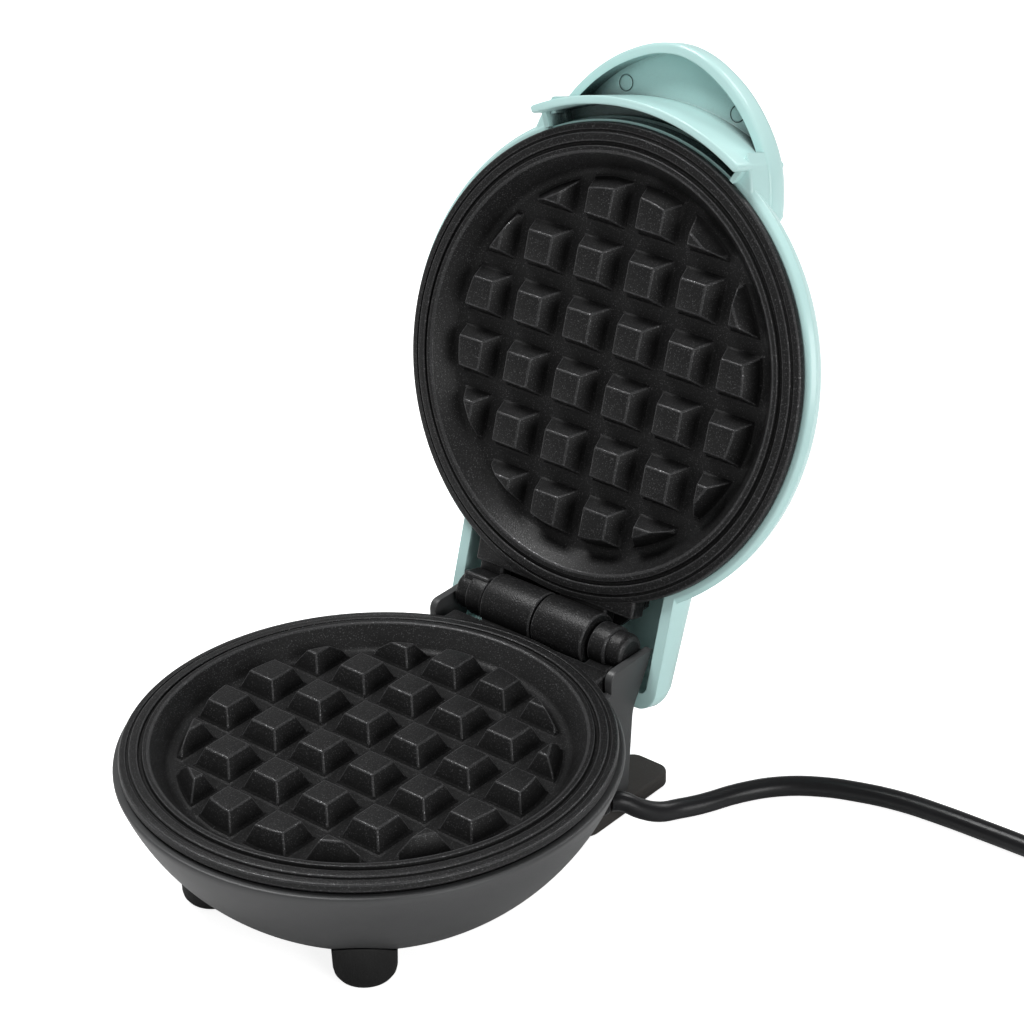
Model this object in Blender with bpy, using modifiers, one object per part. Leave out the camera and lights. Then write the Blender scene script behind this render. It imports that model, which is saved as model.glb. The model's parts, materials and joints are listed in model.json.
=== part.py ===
"""Round mini waffle maker: a cast plate in a bowl-shaped base, its twin in a domed lid, and a cord.

Units are metres, +X is to the user's right, +Y to the back and +Z up.  Heights are above the table.
The machine is built with the lid closed, about the plates' axis, under one empty; the lid's pieces hang
under a second empty on the hinge's axis, which then turns to the opened angle.
"""
import math

import bmesh
import bpy
from mathutils import Matrix, Vector

# Gaps that neighbours keep
SEAT_GAP = 0.0003
OVERRUN = 0.0020

# Waffle plates: both are the same casting, heights from the rim's plane
PITCH = 0.0160
CELLS_ACROSS = 6
CELL_TOP_SIDE = 0.0077
CELL_BASE_SIDE = 0.0120
CELL_RECESS = 0.0004
CELL_DEPTH = 0.0053
LATTICE_TOP_R = 0.0441
LATTICE_FLARE = 0.0025
LATTICE_BASE_R = LATTICE_TOP_R + LATTICE_FLARE
OUTER_CHANNEL = 0.0025
CAVITY_FLOOR_R = LATTICE_BASE_R + OUTER_CHANNEL
CAVITY_FLARE = 0.0038
CAVITY_RIM_R = CAVITY_FLOOR_R + CAVITY_FLARE
INNER_RING_WIDTH = 0.0015
RING_GROOVE_WIDTH = 0.0014
RING_GROOVE_DEPTH = 0.0011
MIDDLE_RING_WIDTH = 0.0024
OUTER_RING_WIDTH = 0.0022
PLATE_R = CAVITY_RIM_R + INNER_RING_WIDTH + RING_GROOVE_WIDTH + MIDDLE_RING_WIDTH + OUTER_RING_WIDTH
MIDDLE_RING_DROP = 0.0003
OUTER_RING_DROP = 0.0010
PLATE_EDGE_DROP = 0.0029
PLATE_FLOOR_THICKNESS = 0.0025
FLANGE_THICKNESS = 0.0030
PLATE_SKIRT_DEPTH = 0.0052
PLATE_SKIRT_WIDTH = 0.0012
PLATE_SKIRT_TAPER = 0.0012
ELEMENT_CIRCLE_R = 0.0290
ELEMENT_R = 0.0030
ELEMENT_CLEARANCE = 0.0005
PLATE_BOSS_R = 0.0040
PLATE_BOSS_HEIGHT = 0.0110
PLATE_BOSS_CIRCLE_R = ELEMENT_CIRCLE_R + ELEMENT_R + ELEMENT_CLEARANCE + PLATE_BOSS_R
PLATE_BOSS_ANGLES_DEG = (270.0, 30.0, 150.0)
PLATE_SCREW_DEPTH = 0.0042

# Height of the lower rim and the gap to the upper one when closed
RIM_Z = 0.0410
RIM_GAP = 0.0010

# Hinge
KNUCKLE_R = 0.0071
HINGE_Y = PLATE_R + KNUCKLE_R
KNUCKLE_LENGTH = 0.0162
KNUCKLE_GAP = 0.0006
EAR_GAP = 0.0010
EAR_LENGTH = 0.0097
TAB_HALF_WIDTH = KNUCKLE_GAP / 2 + KNUCKLE_LENGTH + EAR_GAP + EAR_LENGTH
HINGE_TAB_DROP = 0.0013
HINGE_TAB_THICKNESS = 0.0050
PIN_R = 0.0017
PIN_END_SET_BACK = 0.0005
OPEN_ANGLE_DEG = 107.0

# Base housing: a bowl with a rear column
LIP_OVERHANG = 0.0014
LIP_R = PLATE_R + LIP_OVERHANG
LIP_DROP = 0.0040
LIP_Z = RIM_Z - LIP_DROP
LIP_ROUND = 0.0010
BOWL_ARC_R = 0.0610
PLATE_POST_R = 0.0050
PLATE_POST_SET_IN = 0.0010
BOWL_BOTTOM_R = PLATE_BOSS_CIRCLE_R + PLATE_POST_R + PLATE_POST_SET_IN
BOWL_BOTTOM_Z = 0.0075
BOWL_CORNER = 0.0020
HOUSING_WALL = 0.0020
LIP_CLEARANCE = 0.0004
COLUMN_WALL = 0.0022
CHEEK_GAP = 0.0008
COLUMN_HALF_WIDTH = TAB_HALF_WIDTH + CHEEK_GAP + COLUMN_WALL
COLUMN_BOTTOM_Z = 0.00435
COLUMN_RISE = 0.0006
COLUMN_TOP_Z = RIM_Z + COLUMN_RISE
COLUMN_FRONT_REACH = 0.0120
COLUMN_FRONT_Y = HINGE_Y - COLUMN_FRONT_REACH
COLUMN_FRONT_ROUND = 0.0020
COLUMN_BACK_REACH = 0.0058
COLUMN_BACK_TOP_Y = HINGE_Y + COLUMN_BACK_REACH
COLUMN_BEND_STEP = 0.0083
COLUMN_BACK_BEND_Y = COLUMN_BACK_TOP_Y - COLUMN_BEND_STEP
COLUMN_BACK_BEND_Z = 0.0277
COLUMN_BACK_LEAN = 0.0021
COLUMN_BACK_BOTTOM_Y = COLUMN_BACK_BEND_Y - COLUMN_BACK_LEAN
COLUMN_LENGTH = 0.0229
COLUMN_INNER_Y = COLUMN_BACK_BOTTOM_Y - COLUMN_LENGTH
COLUMN_FLOOR = 0.0017
COLUMN_BACK_WALL_RISE = 0.0033
COLUMN_BACK_WALL_TOP_Z = COLUMN_BACK_BEND_Z + COLUMN_BACK_WALL_RISE
COLUMN_EDGE_ROUND = 0.0012

# Screws
SCREW_SHANK_R = 0.0015
SCREW_HOLE_R = 0.0018
SCREW_HEAD_R = 0.0031
SCREW_HEAD_HOLE_R = 0.0035
SCREW_HEAD_HEIGHT = 0.0022
PLATE_POST_SEAT_HEIGHT = 0.0065
PLATE_POST_SEAT_Z = BOWL_BOTTOM_Z + PLATE_POST_SEAT_HEIGHT
SMALL_SCREW_HEAD_HEIGHT = 0.0014

# Feet
FRONT_FOOT_SET_IN = 0.0026
FRONT_FOOT_ANGLE_DEG = 308.8
FRONT_FOOT_X = (BOWL_BOTTOM_R - FRONT_FOOT_SET_IN) * math.cos(math.radians(FRONT_FOOT_ANGLE_DEG))
FRONT_FOOT_Y = (BOWL_BOTTOM_R - FRONT_FOOT_SET_IN) * math.sin(math.radians(FRONT_FOOT_ANGLE_DEG))
FRONT_FOOT_TOP_R = 0.0081
FRONT_FOOT_R = 0.0076
FRONT_FOOT_ROUND = 0.0030
FRONT_FOOT_CHAMFER_SHARE = 0.3
FRONT_FOOT_RISE = 0.0075
FRONT_FOOT_TOP_Z = BOWL_BOTTOM_Z + FRONT_FOOT_RISE
FOOT_SPIGOT_R = 0.0030
FOOT_SPIGOT_RISE = 0.0055
FOOT_SPIGOT_TOP_Z = BOWL_BOTTOM_Z + FOOT_SPIGOT_RISE
REAR_FOOT_WIDTH = 0.0135
REAR_FOOT_SPREAD = 0.0022
REAR_FOOT_X = COLUMN_HALF_WIDTH + REAR_FOOT_SPREAD - REAR_FOOT_WIDTH / 2
REAR_FOOT_BACK_REACH = 0.0107
REAR_FOOT_BACK_Y = HINGE_Y + REAR_FOOT_BACK_REACH
REAR_FOOT_LENGTH = 0.0342
REAR_FOOT_FRONT_Y = REAR_FOOT_BACK_Y - REAR_FOOT_LENGTH
REAR_FOOT_ROUND = 0.0037
REAR_FOOT_EDGE = 0.0006
REAR_FOOT_SCREW_STEP = 0.0145
REAR_FOOT_SCREW_Y = REAR_FOOT_FRONT_Y + REAR_FOOT_SCREW_STEP
REAR_FOOT_HEAD_DEPTH = 0.0020
FOOT_BOSS_R = 0.0040
FOOT_BOSS_HEIGHT = 0.00765
FOOT_BOSS_TOP_Z = COLUMN_BOTTOM_Z + FOOT_BOSS_HEIGHT

# Heating elements, under each plate
ELEMENT_GAP_DEG = 34.0
ELEMENT_LEG = 0.0110
ELEMENT_PIN_R = 0.0013
ELEMENT_PIN_LENGTH = 0.0070
CLAMP_OVERHANG = 0.0010
CLAMP_LENGTH = (ELEMENT_CIRCLE_R + ELEMENT_R + CLAMP_OVERHANG) * 2
CLAMP_WIDTH = 0.0090
CLAMP_THICKNESS = 0.0012
CLAMP_BOSS_R = 0.0035
CLAMP_BOSS_X = 0.0170
THERMOSTAT_R = 0.0080
THERMOSTAT_HEIGHT = 0.0060
THERMOSTAT_CLEARANCE = 0.0040
THERMOSTAT_Y = -(ELEMENT_CIRCLE_R - ELEMENT_R - THERMOSTAT_CLEARANCE - THERMOSTAT_R)
THERMOSTAT_NECK_R = 0.0055
THERMOSTAT_NECK_HEIGHT = 0.0030
FUSE_R = 0.0019
FUSE_LENGTH = 0.0110
FUSE_END_R = 0.0007
FUSE_END_LENGTH = 0.0060
FUSE_Y = 0.0140

# Wiring in the base
TERMINAL_BLOCK_SIZE = (0.0160, 0.0110, 0.0080)
TERMINAL_BLOCK_X = 0.0060
TERMINAL_BLOCK_STEP = 0.0150
TERMINAL_BLOCK_Y = HINGE_Y - TERMINAL_BLOCK_STEP
LEAD_R = 0.0006
LEAD_SPACING = 0.0016
RELIEF_STEP = 0.0055
RELIEF_Y = TERMINAL_BLOCK_Y - RELIEF_STEP
RELIEF_Z = 0.0090
RELIEF_TURN_DEG = 45.0
RELIEF_BOSS_R = 0.0044
RELIEF_BOSS_REACH = 0.0030
RELIEF_NECK_R = 0.0022
RELIEF_FLANGE_R = 0.0035
RELIEF_FLANGE = 0.0010
RELIEF_TIP_R = 0.0030
RELIEF_TIP = 0.0008
RELIEF_TAIL = 0.0030
CABLE_SLEEVE_R = 0.0012
CABLE_X = 0.0080
CABLE_CLEARANCE = 0.0003
CABLE_HINGE_R = KNUCKLE_R + CABLE_CLEARANCE + CABLE_SLEEVE_R
CABLE_LID_STEP = 0.0160
CABLE_LID_Y = HINGE_Y - CABLE_LID_STEP
CABLE_LID_END_DEG = 20.0
CABLE_END_GAP_DEG = 3.0

# Lid shell: a dome with a rear cover over the hinge, a front lip and a hollow handle
LID_RIM_RISE = 0.0043
LID_RIM_Z = RIM_Z + LID_RIM_RISE
LID_OVERHANG = 0.0001
LID_RIM_R = LIP_R + LID_OVERHANG
LID_BULGE = 0.0008
LID_BULGE_R = LID_RIM_R + LID_BULGE
LID_BULGE_RISE = 0.0014
LID_BULGE_Z = LID_RIM_Z + LID_BULGE_RISE
LID_TOP_FLAT_R = 0.0300
LID_DOME_HEIGHT = 0.0243
LID_TOP_Z = LID_BULGE_Z + LID_DOME_HEIGHT
LID_WALL = 0.0021
COVER_WALL = 0.0031
COVER_CLEARANCE = 0.0012
COVER_HALF_WIDTH = COLUMN_HALF_WIDTH + COVER_CLEARANCE + COVER_WALL
COVER_FRONT_REACH = 0.0375
COVER_FRONT_Y = HINGE_Y - COVER_FRONT_REACH
COVER_BACK_REACH = 0.0133
COVER_BACK_Y = HINGE_Y + COVER_BACK_REACH
COVER_HEIGHT = 0.0152
COVER_TOP_Z = LID_RIM_Z + COVER_HEIGHT
COVER_ROUND = 0.0070
COVER_ROUND_STEPS = 4
LIP_STEP = 0.0019
LIP_INNER_R = LID_BULGE_R + LIP_STEP
LIP_WALL = 0.0021
LIP_HANG = 0.0053
LIP_LOW_Z = LID_RIM_Z - LIP_HANG
LIP_HOLLOW_WIDTH = 0.0066
LIP_HOLLOW_R = LIP_INNER_R - LIP_HOLLOW_WIDTH
LIP_HALF_ANGLE_DEG = 29.0
LIP_END_WALL_DEG = 1.9
HANDLE_HALF_WIDTH = 0.0355
HANDLE_REACH = 0.0164
HANDLE_TIP_Y = -(LIP_INNER_R + HANDLE_REACH)
HANDLE_DEPTH = 0.0350
HANDLE_SIDE_Y = HANDLE_TIP_Y + HANDLE_DEPTH
HANDLE_ROOT_SET_IN = 0.0015
HANDLE_ROOT_DEPTH = 0.0040
HANDLE_ROOT_Y = HANDLE_SIDE_Y + HANDLE_ROOT_DEPTH
HANDLE_RISE = 0.0075
HANDLE_LOW_Z = LID_RIM_Z + HANDLE_RISE
HANDLE_HEIGHT = 0.0092
HANDLE_TOP_Z = HANDLE_LOW_Z + HANDLE_HEIGHT
HANDLE_WALL = 0.0026
HANDLE_ROUND = 0.0045
HANDLE_ROUND_STEPS = 3
RECESS_DEPTH = 0.0052
RECESS_TOP_Z = HANDLE_LOW_Z + RECESS_DEPTH
RECESS_MARK_R = 0.0022
RECESS_MARK_DEPTH = 0.0006
RECESS_MARK_X = 0.0173
RECESS_MARK_STEP = 0.0135
RECESS_MARK_Y = HANDLE_TIP_Y + RECESS_MARK_STEP

# The dome's side from its flat top to its widest, and the handle from its root to its tip, as shares
DOME_SIDE_SHARES = [
    (0.000, 0.000),
    (0.159, 0.016),
    (0.330, 0.070),
    (0.496, 0.173),
    (0.648, 0.321),
    (0.783, 0.514),
    (0.892, 0.700),
    (0.975, 0.877),
    (1.000, 1.000),
]
HANDLE_SIDE_SHARES = [
    (1.000, 0.000),
    (0.975, 0.150),
    (0.930, 0.309),
    (0.865, 0.441),
    (0.770, 0.575),
    (0.645, 0.708),
    (0.500, 0.823),
    (0.321, 0.923),
    (0.160, 0.979),
    (0.000, 1.000),
]

# Inside both halves: a heat shield on the plate's bosses; the lid's posts hold the upper one
SHIELD_BORDER = 0.0035
SHIELD_R = PLATE_BOSS_CIRCLE_R + PLATE_BOSS_R + SHIELD_BORDER
SHIELD_THICKNESS = 0.0008
SHIELD_HOLE_R = 0.0200
LID_POST_R = 0.0040
LID_POST_CIRCLE_R = LID_TOP_FLAT_R
LID_POST_ANGLES_DEG = (90.0, 210.0, 330.0)
LID_SCREW_DEPTH = 0.0040
LENS_R = 0.0030
LENS_FLANGE_R = 0.0042
LENS_FLANGE = 0.0010
LENS_PROUD = 0.0008
LENS_Y = -LID_POST_CIRCLE_R * 2 / 3
LAMP_R = 0.0022
LAMP_LENGTH = 0.0030

# Cord, coil and plug
CORD_R = 0.0026
CORD_POINT_STEP = 0.0080
COIL_START_GAP = 0.0004
COIL_OUTER_R = 0.0320
COIL_TURN_STEP = 0.0062
COIL_LAYER_STEP = 0.0060
COIL_TURNS_IN = 1.5
COIL_TURNS_CLIMB = 0.5
COIL_TURNS_OUT = 1.0
COIL_POINTS_A_TURN = 24
TIE_THICKNESS = 0.0008
TIE_WIDTH = 0.0050
TIE_CLEARANCE = 0.0005
TIE_ROUND = 0.0022
COIL_TAIL = 0.0260
PLUG_SIZE = (0.0270, 0.0240, 0.0170)
PLUG_NECK_R = 0.0046
PLUG_NECK = 0.0110
PLUG_ROUND = 0.0030
BLADE_SIZE = (0.0160, 0.0015, 0.0063)
BLADE_SPACING = 0.0127
BLADE_HOLE_R = 0.0016

# How finely round things are built
BIG_STEPS = 48
MIDDLE_STEPS = 20
SMALL_STEPS = 12
HOLLOW_TWIST_DEG = 2.2

# Where the cord lies, as (x, y) from where it leaves the column's wall and the height above the table:
# the photographed stretch, then straight on to the coil
CORD_ROUTE = [
    (0.0040, 0.0040, 0.0090),
    (0.0056, 0.0056, 0.0089),
    (0.0088, 0.0092, 0.0061),
    (0.0114, 0.0140, 0.0036),
    (0.0136, 0.0192, 0.0026),
    (0.0167, 0.0242, 0.0026),
    (0.0215, 0.0345, 0.0026),
    (0.0277, 0.0431, 0.0026),
    (0.0358, 0.0493, 0.0026),
    (0.0452, 0.0535, 0.0026),
    (0.0553, 0.0564, 0.0026),
    (0.0665, 0.0578, 0.0026),
    (0.0800, 0.0586, 0.0026),
    (0.1000, 0.0594, 0.0026),
    (0.1200, 0.0600, 0.0026),
    (0.1400, 0.0604, 0.0028),
    (0.1550, 0.0605, 0.0038),
    (0.1690, 0.0605, 0.0040),
]

# Colours: base colour, roughness, metallic
COATED_METAL = ((0.028, 0.028, 0.028), 0.42, 0.6)
HOUSING_GREY = ((0.060, 0.064, 0.068), 0.38, 0.0)
FOOT_BLACK = ((0.030, 0.030, 0.028), 0.60, 0.0)
LID_MINT = ((0.42, 0.76, 0.70), 0.25, 0.0)
STEEL = ((0.55, 0.55, 0.54), 0.35, 1.0)
CORD_BLACK = ((0.020, 0.020, 0.020), 0.40, 0.0)
CERAMIC_WHITE = ((0.80, 0.79, 0.75), 0.55, 0.0)
LENS_BLUE = ((0.10, 0.30, 0.85), 0.10, 0.0)
COPPER = ((0.80, 0.45, 0.25), 0.35, 1.0)


# Scene and collections

def clear_scene():
    for old in list(bpy.data.objects):
        bpy.data.objects.remove(old, do_unlink=True)


def make_collection(name):
    collection = bpy.data.collections.new(name)
    bpy.context.scene.collection.children.link(collection)
    return collection


def make_empty(name, location, parent=None, rotation=(0.0, 0.0, 0.0)):
    empty = bpy.data.objects.new(name, None)
    empty.location = location
    empty.rotation_euler = rotation
    empty.parent = parent
    PARTS.objects.link(empty)
    return empty


def make_object(name, mesh, parent, location=(0.0, 0.0, 0.0), collection=None):
    obj = bpy.data.objects.new(name, mesh)
    obj.location = location
    obj.parent = parent
    (collection or PARTS).objects.link(obj)
    return obj


def paint(obj, look):
    colour, roughness, metallic = look
    material = bpy.data.materials.new(obj.name)
    material.use_nodes = True
    shader = material.node_tree.nodes["Principled BSDF"]
    shader.inputs["Base Color"].default_value = (*colour, 1.0)
    shader.inputs["Roughness"].default_value = roughness
    shader.inputs["Metallic"].default_value = metallic
    obj.data.materials.clear()
    obj.data.materials.append(material)
    return obj


def shade_round(obj, angle_deg=35.0):
    obj.data.shade_smooth()
    obj.data.set_sharp_from_angle(angle=math.radians(angle_deg))
    return obj


# Basic shapes, each as a mesh

def mesh_from_bmesh(name, bm):
    mesh = bpy.data.meshes.new(name)
    bm.to_mesh(mesh)
    bm.free()
    return mesh


def box_mesh(name, low, high):
    """A box between two corners."""
    low, high = Vector(low), Vector(high)
    bm = bmesh.new()
    bmesh.ops.create_cube(bm, size=1.0)
    size = high - low
    bmesh.ops.scale(bm, vec=size, verts=bm.verts)
    bmesh.ops.translate(bm, vec=(low + high) / 2, verts=bm.verts)
    return mesh_from_bmesh(name, bm)


def cylinder_mesh(name, radius, low, high, steps, axis="Z", centre=(0.0, 0.0, 0.0)):
    """A cylinder from low to high along an axis through centre."""
    bm = bmesh.new()
    bmesh.ops.create_cone(bm, cap_ends=True, segments=steps, radius1=radius, radius2=radius, depth=high - low)
    bmesh.ops.translate(bm, vec=(0.0, 0.0, (low + high) / 2), verts=bm.verts)
    if axis == "X":
        bmesh.ops.rotate(bm, matrix=Matrix.Rotation(math.radians(90.0), 3, "Y"), verts=bm.verts)
    if axis == "Y":
        bmesh.ops.rotate(bm, matrix=Matrix.Rotation(math.radians(-90.0), 3, "X"), verts=bm.verts)
    bmesh.ops.translate(bm, vec=centre, verts=bm.verts)
    return mesh_from_bmesh(name, bm)


def turned(name, outline, parent, steps=BIG_STEPS, location=(0.0, 0.0, 0.0), collection=None):
    """An outline of (radius, height) points, run from the top down its outer side, turned about Z."""
    mesh = bpy.data.meshes.new(name)
    points = [(radius, 0.0, height) for radius, height in outline]
    edges = [(i, i + 1) for i in range(len(points) - 1)]
    if outline[0][0] > 0.0:
        edges.append((len(points) - 1, 0))
    mesh.from_pydata(points, edges, [])
    obj = make_object(name, mesh, parent, location, collection)
    screw = obj.modifiers.new("turn", "SCREW")
    screw.axis = "Z"
    screw.steps = steps
    screw.render_steps = steps
    screw.use_merge_vertices = True
    screw.merge_threshold = 0.00001
    screw.use_normal_calculate = False
    return obj


def baked_mesh(obj):
    """The evaluated mesh of an object, welded; the object and its modifiers' helpers are removed."""
    bpy.context.view_layer.update()
    evaluated = obj.evaluated_get(bpy.context.evaluated_depsgraph_get())
    mesh = bpy.data.meshes.new_from_object(evaluated)
    bm = bmesh.new()
    bm.from_mesh(mesh)
    bmesh.ops.remove_doubles(bm, verts=bm.verts, dist=0.000001)
    bm.to_mesh(mesh)
    bm.free()
    helpers = [m.object for m in obj.modifiers if m.type == "BOOLEAN"]
    mesh.name = obj.name
    bpy.data.objects.remove(obj, do_unlink=True)
    for helper in helpers:
        bpy.data.objects.remove(helper, do_unlink=True)
    return mesh


def curve_mesh(name, points, radius, resolution, closed_outline=False, extrude=0.0):
    """A tube along points, or with closed_outline a flat outline of (x, y) points raised by extrude."""
    curve = bpy.data.curves.new(name, "CURVE")
    spline = curve.splines.new("POLY")
    spline.points.add(len(points) - 1)
    if closed_outline:
        curve.dimensions = "2D"
        curve.fill_mode = "BOTH"
        curve.extrude = extrude / 2
        spline.use_cyclic_u = True
        for point, (x, y) in zip(spline.points, points):
            point.co = (x, y, 0.0, 1.0)
    else:
        curve.dimensions = "3D"
        curve.bevel_depth = radius
        curve.bevel_resolution = resolution
        curve.use_fill_caps = True
        for point, place in zip(spline.points, points):
            point.co = (*place, 1.0)
    obj = make_object(name, curve, None, collection=CUTTERS)
    mesh = baked_mesh(obj)
    bpy.data.curves.remove(curve)
    return mesh


def tube(name, points, radius, parent, look, resolution=2):
    mesh = curve_mesh(name, points, radius, resolution)
    return shade_round(paint(make_object(name, mesh, parent), look))


def outline_mesh(name, points, low, high, matrix=None):
    """A flat outline of (x, y) points, raised from low to high, then turned by matrix."""
    mesh = curve_mesh(name, points, 0.0, 0, closed_outline=True, extrude=high - low)
    mesh.transform(Matrix.Translation((0.0, 0.0, (low + high) / 2)))
    if matrix is not None:
        mesh.transform(matrix)
    return mesh


def side_outline_mesh(name, points, half_width):
    """An outline of (y, z) points seen from the side, as wide as twice half_width along X."""
    turn = Matrix(((0.0, 0.0, 1.0, 0.0), (1.0, 0.0, 0.0, 0.0), (0.0, 1.0, 0.0, 0.0), (0.0, 0.0, 0.0, 1.0)))
    return outline_mesh(name, points, -half_width, half_width, turn)


# Joining and cutting

def helper(name, mesh, parent, location=(0.0, 0.0, 0.0)):
    obj = make_object(name, mesh, parent, location, CUTTERS)
    hide_helper(obj)
    return obj


def hide_helper(obj):
    obj.hide_render = True
    obj.display_type = "WIRE"


def combine(target, other, operation):
    hide_helper(other)
    step = target.modifiers.new(operation.lower() + " " + other.name, "BOOLEAN")
    step.operation = operation
    step.object = other
    return step


def cut(target, name, mesh, location=(0.0, 0.0, 0.0)):
    combine(target, helper(name, mesh, target.parent, location), "DIFFERENCE")


def join(target, name, mesh, location=(0.0, 0.0, 0.0)):
    combine(target, helper(name, mesh, target.parent, location), "UNION")


def round_edges(obj, width, steps, angle_deg=40.0):
    bevel = obj.modifiers.new("round edges", "BEVEL")
    bevel.width = width
    bevel.segments = steps
    bevel.limit_method = "ANGLE"
    bevel.angle_limit = math.radians(angle_deg)


def corner_arc(centre, radius, start_deg, end_deg, steps):
    """Points on a circle, from one angle to another."""
    angles = [math.radians(start_deg + (end_deg - start_deg) * i / steps) for i in range(steps + 1)]
    return [(centre[0] + radius * math.cos(a), centre[1] + radius * math.sin(a)) for a in angles]


def polar(radius, angle_deg):
    angle = math.radians(angle_deg)
    return radius * math.cos(angle), radius * math.sin(angle)


def rounded_rectangle(low, high, radius, steps=3):
    """An outline with round corners between two corners."""
    (left, front), (right, back) = low, high
    centres = (
        (right - radius, back - radius),
        (left + radius, back - radius),
        (left + radius, front + radius),
        (right - radius, front + radius),
    )
    points = []
    for corner, centre in enumerate(centres):
        points += corner_arc(centre, radius, corner * 90.0, corner * 90.0 + 90.0, steps)
    return points


# Waffle plates

PLATE_FLOOR_Z = -(CELL_RECESS + CELL_DEPTH)
PLATE_UNDER_Z = PLATE_FLOOR_Z - PLATE_FLOOR_THICKNESS
PLATE_BOSS_LOW_Z = PLATE_UNDER_Z - PLATE_BOSS_HEIGHT
SHIELD_TOP_Z = PLATE_BOSS_LOW_Z - SEAT_GAP
SHIELD_LOW_Z = SHIELD_TOP_Z - SHIELD_THICKNESS
PLATE_SCREW_TIP_Z = PLATE_BOSS_LOW_Z + PLATE_SCREW_DEPTH - SEAT_GAP
HINGE_AXIS_Z = RIM_GAP / 2
PIN_HOLE_R = PIN_R + SEAT_GAP


def plate_outline():
    """The plate's section from its axis out over the rings, down the edge and back underneath."""
    ring_out = CAVITY_RIM_R + INNER_RING_WIDTH
    groove_out = ring_out + RING_GROOVE_WIDTH
    middle_out = groove_out + MIDDLE_RING_WIDTH
    skirt_out = PLATE_R - PLATE_SKIRT_TAPER
    return [
        (0.0, PLATE_FLOOR_Z),
        (CAVITY_FLOOR_R, PLATE_FLOOR_Z),
        (CAVITY_FLOOR_R + (CAVITY_RIM_R - CAVITY_FLOOR_R) / 2, PLATE_FLOOR_Z + CELL_DEPTH / 3),
        (CAVITY_RIM_R, 0.0),
        (ring_out, 0.0),
        (ring_out + RING_GROOVE_WIDTH / 4, -RING_GROOVE_DEPTH),
        (groove_out - RING_GROOVE_WIDTH / 4, -RING_GROOVE_DEPTH),
        (groove_out, -MIDDLE_RING_DROP),
        (middle_out, -OUTER_RING_DROP),
        (PLATE_R - PLATE_EDGE_DROP / 4, -OUTER_RING_DROP - MIDDLE_RING_DROP),
        (PLATE_R, -PLATE_EDGE_DROP),
        (skirt_out, -PLATE_EDGE_DROP - PLATE_SKIRT_TAPER),
        (skirt_out, -PLATE_SKIRT_DEPTH),
        (skirt_out - PLATE_SKIRT_WIDTH, -PLATE_SKIRT_DEPTH),
        (skirt_out - PLATE_SKIRT_WIDTH, -FLANGE_THICKNESS - OUTER_RING_DROP),
        (groove_out, -FLANGE_THICKNESS - OUTER_RING_DROP),
        (CAVITY_FLOOR_R + PLATE_FLOOR_THICKNESS, PLATE_UNDER_Z),
        (0.0, PLATE_UNDER_Z),
    ]


def lattice_mesh():
    """Square cells in rows, sunk a little into the floor."""
    bm = bmesh.new()
    sink = PLATE_FLOOR_THICKNESS / 2
    spread = (CELL_BASE_SIDE - CELL_TOP_SIDE) / CELL_DEPTH
    foot_side = CELL_BASE_SIDE + spread * sink
    depth = CELL_DEPTH + sink
    first = -(CELLS_ACROSS - 1) / 2
    for column in range(CELLS_ACROSS):
        for row in range(CELLS_ACROSS):
            x, y = (first + column) * PITCH, (first + row) * PITCH
            if math.hypot(x, y) - CELL_BASE_SIDE / 2 > LATTICE_BASE_R:
                continue
            cell = bmesh.ops.create_cone(
                bm, cap_ends=True, segments=4, radius1=foot_side / math.sqrt(2),
                radius2=CELL_TOP_SIDE / math.sqrt(2), depth=depth)["verts"]
            bmesh.ops.rotate(bm, matrix=Matrix.Rotation(math.radians(45.0), 3, "Z"), verts=cell)
            bmesh.ops.translate(bm, vec=(x, y, -CELL_RECESS - depth / 2), verts=cell)
    return mesh_from_bmesh("lattice", bm)


def trimmed_lattice_mesh():
    """The cells, cut to a round field with a sloped edge."""
    lattice = make_object("lattice", lattice_mesh(), None, collection=CUTTERS)
    slope = (LATTICE_BASE_R - LATTICE_TOP_R) / CELL_DEPTH
    top, low = 0.0, PLATE_UNDER_Z
    outline = [
        (0.0, top),
        (LATTICE_TOP_R - slope * CELL_RECESS, top),
        (LATTICE_BASE_R + slope * (PLATE_FLOOR_Z - low), low),
        (0.0, low),
    ]
    edge = turned("lattice_edge", outline, None, collection=CUTTERS)
    edge.rotation_euler.z = math.radians(HOLLOW_TWIST_DEG)
    combine(lattice, edge, "INTERSECT")
    return baked_mesh(lattice)


def knuckle_spans():
    """Where the plate's knuckle and ear lie along the hinge."""
    start = KNUCKLE_GAP / 2
    knuckle = (-start - KNUCKLE_LENGTH, -start)
    ear = (start + KNUCKLE_LENGTH + EAR_GAP, TAB_HALF_WIDTH)
    return knuckle, ear


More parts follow.
